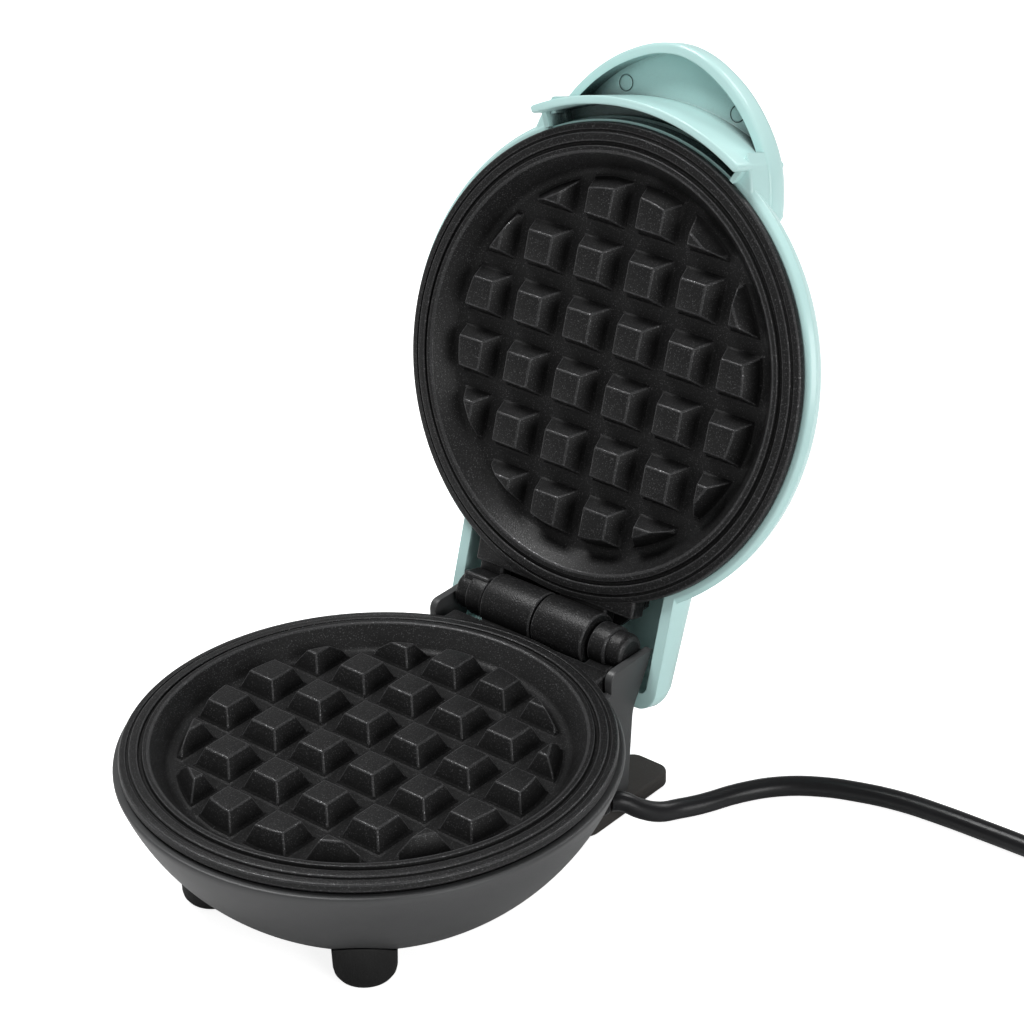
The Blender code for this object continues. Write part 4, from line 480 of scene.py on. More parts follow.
def bevel_edges(bm, edges, width, segments):
    bmesh.ops.bevel(bm, geom=edges, offset=width, offset_type="OFFSET", segments=segments, profile=0.5,
                    affect="EDGES", clamp_overlap=True, material=-1)


def sharp_edges(bm, angle_deg):
    limit = math.radians(angle_deg)
    return [edge for edge in bm.edges if len(edge.link_faces) == 2 and edge.calc_face_angle() > limit]


def edge_middle(edge):
    return (edge.verts[0].co + edge.verts[1].co) / 2


def edge_reach(edge, axis):
    """How far an edge goes along X, Y or Z, numbered from 0."""
    return abs(edge.verts[0].co[axis] - edge.verts[1].co[axis])


def outline_face(bm, points):
    """A face in the XZ plane from (across, up, rounding) points, its corners rounded."""
    corners = [bm.verts.new((across, 0.0, up)) for across, up, _ in points]
    bm.faces.new(corners)
    for corner, (_, _, rounding) in zip(corners, points):
        if rounding > 0.0:
            bmesh.ops.bevel(bm, geom=[corner], offset=rounding, offset_type="OFFSET", segments=4, profile=0.5,
                            affect="VERTICES", clamp_overlap=False, material=-1)


def mark_ridges(mesh):
    """Sets the attribute ridge to 1 on the narrow faces that round outer edges."""
    bm = bmesh_of(mesh)
    bm.normal_update()
    layer = bm.faces.layers.float.new("ridge")
    least = math.radians(RIDGE_LEAST_TURN)
    for face in bm.faces:
        width = face.calc_area() / max(edge.calc_length() for edge in face.edges)
        if width < RIDGE_WIDTH:
            turned = [edge for edge in face.edges
                      if len(edge.link_faces) == 2 and edge.calc_face_angle_signed() > least]
            face[layer] = 1.0 if len(turned) > 1 else 0.0
    return stored(bm, mesh)


def spun(name, section, steps=ROUND_STEPS):
    """A closed (radius, height, rounding) section turned about Z."""
    bm = bmesh.new()
    outline_face(bm, section)
    bmesh.ops.delete(bm, geom=bm.faces[:], context="FACES_ONLY")
    on_axis = [edge for edge in bm.edges if all(abs(vertex.co.x) < TINY for vertex in edge.verts)]
    bmesh.ops.delete(bm, geom=on_axis, context="EDGES")
    bmesh.ops.spin(bm, geom=bm.verts[:] + bm.edges[:], cent=(0, 0, 0), axis=(0, 0, 1), dvec=(0, 0, 0),
                   angle=math.tau, steps=steps, use_merge=True, use_normal_flip=False, use_duplicate=False)
    bmesh.ops.remove_doubles(bm, verts=bm.verts, dist=1e-6)
    return mesh_from(bm, name)


def raise_face(bm, along):
    """Makes a solid of the face in bm, by a copy of it moved along a vector."""
    raised = bmesh.ops.extrude_face_region(bm, geom=bm.faces[:], use_keep_orig=True)["geom"]
    moved = [item for item in raised if isinstance(item, bmesh.types.BMVert)]
    bmesh.ops.translate(bm, verts=moved, vec=along)
    bmesh.ops.recalc_face_normals(bm, faces=bm.faces)


def side_solid(name, points, half_width, rounding=0.0):
    """A (y, z, rounding) outline seen from the side, made as wide as twice half_width along X."""
    bm = bmesh.new()
    outline_face(bm, points)
    bmesh.ops.rotate(bm, verts=bm.verts, matrix=Matrix.Rotation(math.radians(90.0), 3, "Z"))
    bmesh.ops.translate(bm, verts=bm.verts, vec=(-half_width, 0.0, 0.0))
    raise_face(bm, (half_width * 2, 0.0, 0.0))
    if rounding > 0.0:
        bevel_edges(bm, [edge for edge in bm.edges if edge_reach(edge, 0) < TINY and len(edge.link_faces) == 2
                         and abs(abs(edge.verts[0].co.x) - half_width) < TINY], rounding, 4)
    return mesh_from(bm, name)


def cube(low, high):
    low, high = Vector(low), Vector(high)
    bm = bmesh.new()
    bmesh.ops.create_cube(bm, size=1.0)
    bmesh.ops.scale(bm, vec=high - low, verts=bm.verts)
    bmesh.ops.translate(bm, vec=(low + high) / 2, verts=bm.verts)
    return bm


def box(name, low, high, rounding=0.0, segments=3):
    bm = cube(low, high)
    if rounding > 0.0:
        bevel_edges(bm, bm.edges[:], rounding, segments)
    return mesh_from(bm, name)


def rod(name, radius, low, high, steps=SMALL_STEPS, rounding=0.0, bore=0.0):
    """A round bar along Z from low to high, with a bore through it if one is given."""
    section = ((bore, high, 0.0), (radius, high, rounding), (radius, low, rounding), (bore, low, 0.0))
    return spun(name, section, steps)


ALONG_X = Matrix.Rotation(math.radians(90.0), 4, "Y")

# From a bar along Z to the cord's way out of the wall
TO_RELIEF = (ALONG_X, Matrix.Rotation(RELIEF_TURN, 4, "Z"), Matrix.Translation(RELIEF_PLACE))

# Turns a hollow a little, so that its facets don't lie along the shell's
FACET_TURN = Matrix.Rotation(math.radians(1.1), 4, "Z")


def placed(mesh, *matrices):
    for matrix in matrices:
        mesh.transform(matrix)
    return mesh


def at(x, y, z=0.0):
    return Matrix.Translation((x, y, z))


def polar(radius, angle_deg):
    angle = math.radians(angle_deg)
    return radius * math.cos(angle), radius * math.sin(angle)


def gathered(name, meshes):
    """Several closed shells in one mesh."""
    bm = bmesh.new()
    for mesh in meshes:
        bm.from_mesh(mesh)
        bpy.data.meshes.remove(mesh)
    return stored(bm, bpy.data.meshes.new(name))


def smooth_run(points, count):
    """Points along a Catmull-Rom curve, count to each stretch between the given ones."""
    points = [Vector(p) for p in points]
    padded = [2 * points[0] - points[1]] + points + [2 * points[-1] - points[-2]]
    out = []
    for i in range(len(points) - 1):
        p0, p1, p2, p3 = padded[i:i + 4]
        for k in range(count):
            t = k / count
            out.append(0.5 * (
                2 * p1 + (p2 - p0) * t + (2 * p0 - 5 * p1 + 4 * p2 - p3) * t ** 2
                + (3 * p1 - p0 - 3 * p2 + p3) * t ** 3))
    return out + [points[-1]]


# Joining and cutting with temporary objects

def linked(name, data):
    obj = bpy.data.objects.new(name, data)
    bpy.context.scene.collection.objects.link(obj)
    return obj


def discard(obj):
    data = obj.data
    bpy.data.objects.remove(obj, do_unlink=True)
    (bpy.data.curves if isinstance(data, bpy.types.Curve) else bpy.data.meshes).remove(data)


def evaluated(obj):
    """The mesh that an object's modifiers or curve make, in place of the object and its data."""
    bpy.context.view_layer.update()
    mesh = bpy.data.meshes.new_from_object(obj.evaluated_get(bpy.context.evaluated_depsgraph_get()))
    discard(obj)
    return mesh


def merged(mesh, distance):
    """A bmesh in place of the mesh, with its doubled corners merged."""
    bm = bmesh_of(mesh)
    bpy.data.meshes.remove(mesh)
    bmesh.ops.remove_doubles(bm, verts=bm.verts, dist=distance)
    return bm


def join(mesh, *places):
    """A step of carved that adds the mesh where the places put it."""
    return "UNION", placed(mesh, *places)


def cut(mesh, *places):
    """A step of carved that takes the mesh away where the places put it."""
    return "DIFFERENCE", placed(mesh, *places)


def carved(name, first, *steps):
    """The first mesh after each join or cut, as one clean mesh."""
    target = linked(name, first)
    helpers = [linked(operation, mesh) for operation, mesh in steps]
    for (operation, _), helper in zip(steps, helpers):
        step = target.modifiers.new(operation.lower(), "BOOLEAN")
        step.operation = operation
        step.object = helper
        step.solver = "EXACT"
    result = evaluated(target)
    for helper in helpers:
        discard(helper)
    return stored(merged(result, 2e-6), bpy.data.meshes.new(name))


def rounded_by_weight(mesh, weights, width, segments):
    """The mesh with its edges rounded by width times the weight that weights(edge) gives."""
    bm = bmesh_of(mesh)
    layer = bm.edges.layers.float.new("bevel_weight_edge")
    for edge in bm.edges:
        edge[layer] = weights(edge)
    obj = linked(mesh.name, stored(bm, mesh))
    bevel = obj.modifiers.new("round", "BEVEL")
    bevel.width = width
    bevel.segments = segments
    bevel.limit_method = "WEIGHT"
    bevel.use_clamp_overlap = False
    return evaluated(obj)


def add_piece(name, mesh, body, material, replaced):
    """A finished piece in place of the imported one, at the origin with its place in its mesh."""
    mesh.name = name
    obj = linked(name, mesh)
    mesh.materials.clear()
    mesh.materials.append(material)
    mesh.shade_smooth()
    mesh.set_sharp_from_angle(angle=math.radians(CREASE_ANGLE))
    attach(obj, body)
    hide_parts(replaced)
    return obj


# Node trees

def feed(tree, node, inputs):
    """Gives a node's inputs, by name or number, values or the sockets that feed them."""
    for key, value in inputs.items():
        if isinstance(value, bpy.types.NodeSocket):
            tree.links.new(value, node.inputs[key])
        else:
            node.inputs[key].default_value = value


def add_node(tree, kind, inputs=None, **settings):
    node = tree.nodes.new(kind)
    for setting, value in settings.items():
        setattr(node, setting, value)
    feed(tree, node, inputs or {})
    return node


def math_node(tree, operation, *values):
    return add_node(tree, "ShaderNodeMath", dict(enumerate(values)), operation=operation).outputs[0]


def mix_colour(tree, factor, first, second):
    return add_node(tree, "ShaderNodeMix", {0: factor, 6: first, 7: second}, data_type="RGBA").outputs[2]


def ramp(tree, value, low, high):
    """The value spread from low to high over 0 to 1."""
    return add_node(tree, "ShaderNodeMapRange", {"Value": value, "From Min": low, "From Max": high},
                    interpolation_type="SMOOTHSTEP").outputs[0]


def spread(tree, value, low, high):
    """The value from 0 to 1 spread over low to high."""
    return add_node(tree, "ShaderNodeMapRange", {"Value": value, "To Min": low, "To Max": high}).outputs[0]


def bump(tree, inputs):
    return add_node(tree, "ShaderNodeBump", {"Strength": 1.0, **inputs}).outputs[0]


FLOAT, VECTOR = "NodeSocketFloat", "NodeSocketVector"


def new_group(name, inputs, outputs):
    """A node group with its inputs as (name, default), a vector's default being None, and its outputs."""
    group = bpy.data.node_groups.new(name, "ShaderNodeTree")
    for socket_name, default in inputs:
        kind = VECTOR if default is None else FLOAT
        socket = group.interface.new_socket(name=socket_name, in_out="INPUT", socket_type=kind)
        if default is not None:
            socket.default_value = default
    for socket_name, kind in outputs:
        group.interface.new_socket(name=socket_name, in_out="OUTPUT", socket_type=kind)
    return group, group.nodes.new("NodeGroupInput").outputs, group.nodes.new("NodeGroupOutput")


def grain_group():
    """Fine grain as a height, with broad patches that shift colour and gloss a little."""
    group, given, out = new_group("Surface Grain", (("Vector", None), ("Grain Size", 0.0004), ("Patch Size", 0.02)),
                                  (("Height", FLOAT), ("Patches", FLOAT)))
    for size, detail, roughness, result in (("Grain Size", 2.0, 0.6, "Height"), ("Patch Size", 3.0, 0.55, "Patches")):
        noise = add_node(group, "ShaderNodeTexNoise", {
            "Vector": given["Vector"], "Scale": math_node(group, "DIVIDE", 1.0, given[size]),
            "Detail": detail, "Roughness": roughness})
        feed(group, out, {result: ramp(group, noise.outputs[0], 0.3, 0.7)})
    return group


def edge_group():
    """A softened normal, and a mask of the edges, which a painted highlight makes paler."""
    group, given, out = new_group("Soft Edges", (("Width", 0.0004),), (("Normal", VECTOR), ("Edge", FLOAT)))
    soft = add_node(group, "ShaderNodeBevel", {"Radius": given["Width"]}, samples=4).outputs[0]
    flat = add_node(group, "ShaderNodeNewGeometry").outputs["Normal"]
    alike = add_node(group, "ShaderNodeVectorMath", {0: soft, 1: flat}, operation="DOT_PRODUCT").outputs["Value"]
    feed(group, out, {"Normal": soft, "Edge": ramp(group, math_node(group, "SUBTRACT", 1.0, alike), 0.005, 0.12)})
    return group


def cavity_group():
    """A mask that is 1 on open faces and falls to 0 in corners and hollows, where painted shade goes."""
    group, given, out = new_group("Cavities", (("Reach", 0.01), ("Deep", 0.3), ("Open", 0.9)), (("Openness", FLOAT),))
    around = add_node(group, "ShaderNodeAmbientOcclusion", {"Distance": given["Reach"]}, samples=8,
                      only_local=True)
    feed(group, out, {"Openness": ramp(group, around.outputs["AO"], given["Deep"], given["Open"])})
    return group


def speckle_group():
    """A sprayed coat: pebbles as a height and specks as a mask, for pale flecks with painted glints."""
    group, given, out = new_group("Sprayed Coat", (("Vector", None), ("Pebble Size", 0.0004)),
                                  (("Height", FLOAT), ("Specks", FLOAT)))
    place = {"Vector": given["Vector"], "Scale": math_node(group, "DIVIDE", 1.0, given["Pebble Size"])}
    pebbles = add_node(group, "ShaderNodeTexVoronoi", {**place, "Randomness": 1.0}, feature="SMOOTH_F1")
    haze = add_node(group, "ShaderNodeTexNoise", {**place, "Detail": 3.0}).outputs[0]
    raised = math_node(group, "SUBTRACT", 1.0, pebbles.outputs["Distance"])
    feed(group, out, {"Height": math_node(group, "ADD", raised, haze), "Specks": ramp(group, haze, 0.57, 0.70)})
    return group


def shade(colour, factor):
    return tuple(min(channel * factor, 1.0) for channel in colour) + (1.0,)


def chosen(name):
    """A colour from the panel."""
    return tuple(getattr(bpy.context.scene.waffle_maker_colours, name))


class Finishes:
    """The materials, each made once when a piece first asks for it."""

    def __init__(self):
        self.made = {}
        self.groups = {}

    def group(self, tree, make, inputs):
        """A node of the group that make() makes, each group made once."""
        if make not in self.groups:
            self.groups[make] = make()
        return add_node(tree, "ShaderNodeGroup", inputs, node_tree=self.groups[make])

    def start(self, name):
        material = self.made[name] = bpy.data.materials.new(name)
        material.use_nodes = True
        return material, material.node_tree, material.node_tree.nodes["Principled BSDF"]

    def coordinates(self, tree, stretch=(1.0, 1.0, 1.0)):
        place = add_node(tree, "ShaderNodeTexCoord").outputs["Object"]
        return add_node(tree, "ShaderNodeMapping", {"Vector": place, "Scale": stretch}).outputs[0]

    def openness(self, tree, reach, deep, free):
        return self.group(tree, cavity_group, {"Reach": reach, "Deep": deep, "Open": free}).outputs["Openness"]

    def plain(self, name, colour, roughness, metallic=0.0, grain=0.0004, depth=0.00002, mottle=0.12,
              gloss_change=0.10, edge_width=0.0004, painted_edge_highlight=1.25, stretch=(1.0, 1.0, 1.0), patch=0.02,
              specular=0.5, painted_hollow_shade=None):
        """Grain, patches and a painted highlight on the edges over one colour, with painted shade in hollows if a
        hollow shade is given.
        """
        if name in self.made:
            return self.made[name]
        material, tree, shader = self.start(name)
        grains = self.group(tree, grain_group, {
            "Vector": self.coordinates(tree, stretch), "Grain Size": grain, "Patch Size": patch}).outputs
        edges = self.group(tree, edge_group, {"Width": edge_width}).outputs
        body = mix_colour(tree, grains["Patches"], shade(colour, 1.0 - mottle), shade(colour, 1.0 + mottle))
        # Painted highlight: the edges are made paler by a factor, standing in for glints on rounded edges.
        body = mix_colour(tree, edges["Edge"], body, shade(colour, painted_edge_highlight))
        # Painted shade: the colour darkens towards corners and hollows, by the ambient occlusion mask.
        if painted_hollow_shade:
            *limits, painted_shade_colour = painted_hollow_shade
            body = mix_colour(tree, self.openness(tree, *limits), painted_shade_colour + (1.0,), body)
        feed(tree, shader, {
            "Base Color": body,
            "Roughness": spread(tree, grains["Patches"], roughness - gloss_change / 2, roughness + gloss_change / 2),
            "Normal": bump(tree, {"Height": grains["Height"], "Normal": edges["Normal"], "Distance": depth}),
            "Metallic": metallic,
            "Specular IOR Level": specular,
        })
        return material

    def coated_plate(self):
        """Sprayed non-stick coat over cast metal: pebbled, with painted shade in hollows, pale flecks with painted
        glints on specks, and ridges painted paler as glints over worn coat.
        """
        material, tree, shader = self.start("coated_plate")
        colour = chosen("plates")
        coat = self.group(tree, speckle_group, {
            "Vector": self.coordinates(tree), "Pebble Size": COAT_PEBBLE_SIZE}).outputs
        ridge = add_node(tree, "ShaderNodeAttribute", attribute_name="ridge").outputs["Fac"]
        # Ridges: painted glint over worn coat, paler, glossier and partly metallic, broken up by the specks.
        ridge_glint_and_wear = math_node(tree, "MULTIPLY", ridge, spread(tree, coat["Specks"], COAT_LEAST_GLINT_AND_WEAR, 1.0))
        open_face = self.openness(tree, *COAT_CAVITY)
        # Painted shade: the coat darkens in the hollows between the cells.
        hollow_shade_tone, on_open, speck_fleck_and_glint, ridge_glint_and_wear_tone = (shade(colour, factor) for factor in COAT_PAINTED_TONES)
        ground = mix_colour(tree, open_face, hollow_shade_tone, on_open)
        # Specks on open faces: pale flecks of the coat with painted glints.
        flecked = mix_colour(tree, math_node(tree, "MULTIPLY", coat["Specks"], open_face), ground, speck_fleck_and_glint)
        sheen = math_node(tree, "MAXIMUM", math_node(tree, "MULTIPLY", coat["Specks"], 0.5), ridge_glint_and_wear)
        feed(tree, shader, {
            "Base Color": mix_colour(tree, ridge_glint_and_wear, flecked, ridge_glint_and_wear_tone),
            "Roughness": math_node(tree, "MULTIPLY_ADD", sheen, -COAT_SHEEN, spread(tree, open_face, *COAT_ROUGHNESS)),
            "Normal": bump(tree, {"Height": coat["Height"], "Distance": COAT_DEPTH}),
            "Metallic": math_node(tree, "MULTIPLY", ridge_glint_and_wear, 0.6),
            "Specular IOR Level": 0.22,
        })
        return material

    def lid(self):
        # Painted shade in the lid's groove and hollows, in dark teal, and a painted highlight on its edges.
        return self.plain("lid_plastic", chosen("lid"), 0.22, grain=0.0030, depth=0.000008, mottle=0.02,
                          gloss_change=0.05, edge_width=0.0005, painted_edge_highlight=1.06, patch=0.03,
                          painted_hollow_shade=(0.014, 0.10, 0.46, (0.016, 0.030, 0.030)))

    def housing(self):
        # Painted shade in the housing's hollows and corners, and a painted highlight on its edges.
        return self.plain("housing_plastic", chosen("housing"), 0.42, grain=0.0004, depth=0.000012, mottle=0.05,
                          gloss_change=0.06, edge_width=0.0004, painted_edge_highlight=1.3, patch=0.03,
                          painted_hollow_shade=(0.015, 0.20, 0.75, (0.006, 0.006, 0.006)))

    def cord(self):
        # The edges get the default painted highlight.
        return self.plain("cord_jacket", chosen("cord"), 0.34, grain=0.0006, depth=0.00001, mottle=0.15,
                          edge_width=0.0003, specular=0.28)


finishes = Finishes()


# Operators

class PlaceCamera(bpy.types.Operator):
    """Places the camera at the photograph's viewing angle"""
    bl_idname = "waffle_maker.place_camera"
    bl_label = "Place Camera"

    def execute(self, context):
        level = math.cos(CAMERA_ELEVATION)
        back = Vector((math.sin(CAMERA_AZIMUTH) * level, -math.cos(CAMERA_AZIMUTH) * level,
                       math.sin(CAMERA_ELEVATION)))
        right = Vector((math.cos(CAMERA_AZIMUTH), math.sin(CAMERA_AZIMUTH), 0.0))
        up = back.cross(right)
        across = math.cos(CAMERA_ROLL) * right + math.sin(CAMERA_ROLL) * up
        upward = -math.sin(CAMERA_ROLL) * right + math.cos(CAMERA_ROLL) * up
        turn = Matrix((across, upward, back)).transposed().to_4x4()
        camera = linked("camera", bpy.data.cameras.new("camera"))
        camera.matrix_world = Matrix.Translation(CAMERA_PLACE + Vector((0.0, AXIS_Y, 0.0))) @ turn
        camera.data.lens = CAMERA_LENS
        camera.data.sensor_width = CAMERA_SENSOR
        camera.data.clip_start = 0.01
        camera.data.clip_end = 20.0
        context.scene.camera = camera
        return {"FINISHED"}


def cord_points():
    """Every point of the cord's middle, from the strain relief through the coil to the plug."""
    route = [RELIEF_PLACE + Vector((x, y, z - RELIEF_PLACE.z)) for x, y, z in CORD_ROUTE]
    turns = COIL_TURNS_IN + COIL_TURNS_CLIMB + COIL_TURNS_OUT
    reverse = COIL_TURNS_IN + COIL_TURNS_CLIMB / 2
    coil = []
    for i in range(round(turns * COIL_POINTS_A_TURN) + 1):
        turn = i / COIL_POINTS_A_TURN
        climb = min(max((turn - COIL_TURNS_IN) / COIL_TURNS_CLIMB, 0.0), 1.0)
        radius = COIL_OUTER_R - COIL_TURN_STEP * min(turn, reverse * 2 - turn)
        coil.append(COIL_PLACE + Vector((*polar(radius, 90.0 - 360.0 * turn), COIL_LAYER_STEP * climb)))
    last = coil[-1]
    end = Vector((last.x + COIL_TAIL, last.y, PLUG_SIZE[2] / 2))
    before = end - Vector((CORD_R * 2, 0.0, 0.0))
    middle = Vector(((last.x + before.x) / 2, last.y, (last.z + before.z) / 2))
    return route + coil + [middle, before, end]


def round_curve(name, radius, resolution):
    curve = bpy.data.curves.new(name, "CURVE")
    curve.dimensions = "3D"
    curve.bevel_depth = radius
    curve.bevel_resolution = resolution
    curve.use_fill_caps = True
    return curve


class LayCord(bpy.types.Operator):
    """Lays the mains cord, its coil and tie, the bushing that holds it and its plug"""
    bl_idname = "waffle_maker.lay_cord"
    bl_label = "Lay Cord"

    def execute(self, context):
        points = cord_points()
        curve = round_curve("mains_cord", CORD_R, 5)
        curve.resolution_u = 4
        spline = curve.splines.new("BEZIER")
        spline.bezier_points.add(len(points) - 1)
        for knot, place in zip(spline.bezier_points, points):
            knot.co = place + Vector((0.0, AXIS_Y, 0.0))
            knot.handle_left_type = knot.handle_right_type = "AUTO"
        curve.materials.append(finishes.cord())
        cord = linked("mains_cord", curve)
        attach(cord, "base")
        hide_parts("power_cord", "cord_coil")
        pieces = self.add_plug(points[-1]) + [self.add_tie()]
        self.add_bushing()
        return {"FINISHED"}

    def add_plug(self, end):
        length, width, height = PLUG_SIZE
        body_start = end.x + PLUG_GAP + PLUG_NECK
        body_end = body_start + length
        body = box("plug", (body_start, end.y - width / 2, 0.0), (body_end, end.y + width / 2, height),
                   PLUG_ROUND, 6)
        neck = [(0.0, PLUG_NECK + PLUG_ROUND, 0.0), (PLUG_NECK_R, PLUG_NECK + PLUG_ROUND, 0.0)]
        for rib in range(PLUG_RIBS):
            top = PLUG_NECK * (PLUG_RIBS - rib) / PLUG_RIBS
            low = top - PLUG_NECK / PLUG_RIBS
            outer = PLUG_NECK_R - PLUG_RIB_TAPER * rib
            neck += [(outer, top - PLUG_RIB_EDGE, PLUG_RIB_ROUND), (outer, low + PLUG_RIB_EDGE, PLUG_RIB_ROUND),
                     (outer - PLUG_RIB_DEPTH, low + PLUG_RIB_ROUND, 0.0)]
        neck.append((0.0, 0.0, 0.0))
        neck_mesh = placed(spun("neck", neck, MIDDLE_STEPS), ALONG_X, at(end.x + PLUG_GAP, end.y, end.z))
        mesh = gathered("plug", [body, neck_mesh])
        for i in range(GRIPS):
            near, far = (body_start + x + GRIP_STEP * i for x in GRIP_X)
            mesh = carved("plug", mesh, cut(box("grip", (near, end.y - GRIP_HALF_WIDTH, height - GRIP_DEPTH),
                                                (far, end.y + GRIP_HALF_WIDTH, height + 0.00001), GRIP_DEPTH, 2)))
        # The plug's and blades' edges get the default painted highlight.
        plastic = finishes.plain("plug_plastic", chosen("cord"), 0.45, grain=0.0004, mottle=0.1)
        brass = finishes.plain("blade_brass", (0.72, 0.50, 0.22), 0.28, 1.0, grain=0.0006, depth=0.000006,
                               stretch=(0.2, 1.0, 1.0))
        pieces = [add_piece("plug", placed(mesh, TO_BASE), "base", plastic, "plug_body")]
        blade_length, thickness, blade_height = BLADE_SIZE
        start = body_end + PLUG_GAP
        for word, side in (("near", -1), ("far", 1)):
            blade_y = end.y + side * BLADE_SPACING / 2
            blade = box("blade", (start, blade_y - thickness / 2, end.z - blade_height / 2),
                        (start + blade_length, blade_y + thickness / 2, end.z + blade_height / 2), BLADE_ROUND)
            hole = cut(rod("hole", BLADE_HOLE_R, -0.003, 0.003), Matrix.Rotation(math.radians(90.0), 4, "X"),
                       at(start + blade_length * 3 / 4, blade_y, end.z))
            pieces.append(add_piece(f"blade_{word}", placed(carved("blade", blade, hole), TO_BASE), "base",
                                    brass, f"plug_blade_{word}"))
        return pieces

    def add_tie(self):
        bm = cube(*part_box("coil_tie"))
        bevel_edges(bm, [edge for edge in bm.edges if edge_reach(edge, 1) > TIE_WIDTH / 2], TIE_ROUND, 6)
        ends = [face for face in bm.faces if abs(face.normal.y) > 0.9]
        bmesh.ops.delete(bm, geom=ends, context="FACES_ONLY")
        bmesh.ops.recalc_face_normals(bm, faces=bm.faces)
        bmesh.ops.solidify(bm, geom=bm.faces[:], thickness=TIE_THICKNESS)
        return add_piece("cord_tie", mesh_from(bm, "tie"), "base", finishes.cord(), "coil_tie")

    def add_bushing(self):
        mesh = placed(spun("bushing", BUSHING_SECTION, SMALL_STEPS), *TO_RELIEF, TO_BASE)
        add_piece("cord_bushing", mesh, "base", finishes.cord(), "strain_relief")


def cell_mesh(x, y, top_side, low_side, top_z, low_z, top_r, low_r, rounding):
    """One square block, cut by the round field's sloped edge where it crosses it, with its edges rounded."""
    bm = bmesh.new()
    depth = top_z - low_z
    bmesh.ops.create_cone(bm, cap_ends=True, segments=4, radius1=low_side / math.sqrt(2),
                          radius2=top_side / math.sqrt(2), depth=depth)
    bmesh.ops.rotate(bm, matrix=Matrix.Rotation(math.radians(45.0), 3, "Z"), verts=bm.verts)
    bmesh.ops.translate(bm, vec=(x, y, (top_z + low_z) / 2), verts=bm.verts)
    slope = (low_r - top_r) / depth
    middle = math.degrees(math.atan2(y, x))
    for step in range(-4, 5):
        angle = middle + step * 4.0
        point = (*polar(top_r, angle), top_z)
        normal = Vector((*polar(1.0, angle), slope)).normalized()
        bmesh.ops.bisect_plane(bm, geom=bm.verts[:] + bm.edges[:] + bm.faces[:], dist=1e-6, plane_co=point,
                               plane_no=normal, clear_outer=True)
        if not bm.faces:
            break
        open_edges = [edge for edge in bm.edges if edge.is_boundary]
        bmesh.ops.holes_fill(bm, edges=open_edges, sides=0)
    if bm.faces and rounding > 0.0:
        bmesh.ops.recalc_face_normals(bm, faces=bm.faces)
        bevel_edges(bm, [edge for edge in sharp_edges(bm, 12.0)
                         if max(vertex.co.z for vertex in edge.verts) > low_z + CELL_SINK / 2], rounding, 3)
    return mesh_from(bm, "cell")


def plate_cells(rounding):
    cells = []
    first = -(CELLS_ACROSS - 1) / 2
    low_z = FLOOR_Z - CELL_SINK
    widen = (CELL_BASE_SIDE - CELL_TOP_SIDE) / (CELL_TOP_Z - FLOOR_Z)
    spread = (FIELD_BASE_R - FIELD_TOP_R) / (CELL_TOP_Z - FLOOR_Z)
    for column in range(CELLS_ACROSS):
        for row in range(CELLS_ACROSS):
            x, y = (first + column) * PITCH, (first + row) * PITCH
            if math.hypot(x, y) - CELL_BASE_SIDE / 2 > FIELD_BASE_R:
                continue
            cells.append(cell_mesh(
                x, y, CELL_TOP_SIDE, CELL_BASE_SIDE + widen * CELL_SINK, CELL_TOP_Z, low_z, FIELD_TOP_R,
                FIELD_BASE_R + spread * CELL_SINK, rounding))
            for rise, reach in FOOT_FLARES:
                cells.append(cell_mesh(
                    x, y, CELL_BASE_SIDE - widen * rise, CELL_BASE_SIDE + reach * 2, FLOOR_Z + rise,
                    FLOOR_Z - 0.00003, FIELD_BASE_R - spread * rise, FIELD_BASE_R + reach, 0.0))
    return cells


def drilled_boss(radius, low_z, hole_top_z, x, y):
    boss = rod("boss", radius, low_z, BOSS_ROOT_Z, rounding=BOSS_ROUND)
    return placed(carved("boss", boss, cut(rod("hole", SCREW_HOLE_R, low_z - PAST, hole_top_z))), at(x, y))


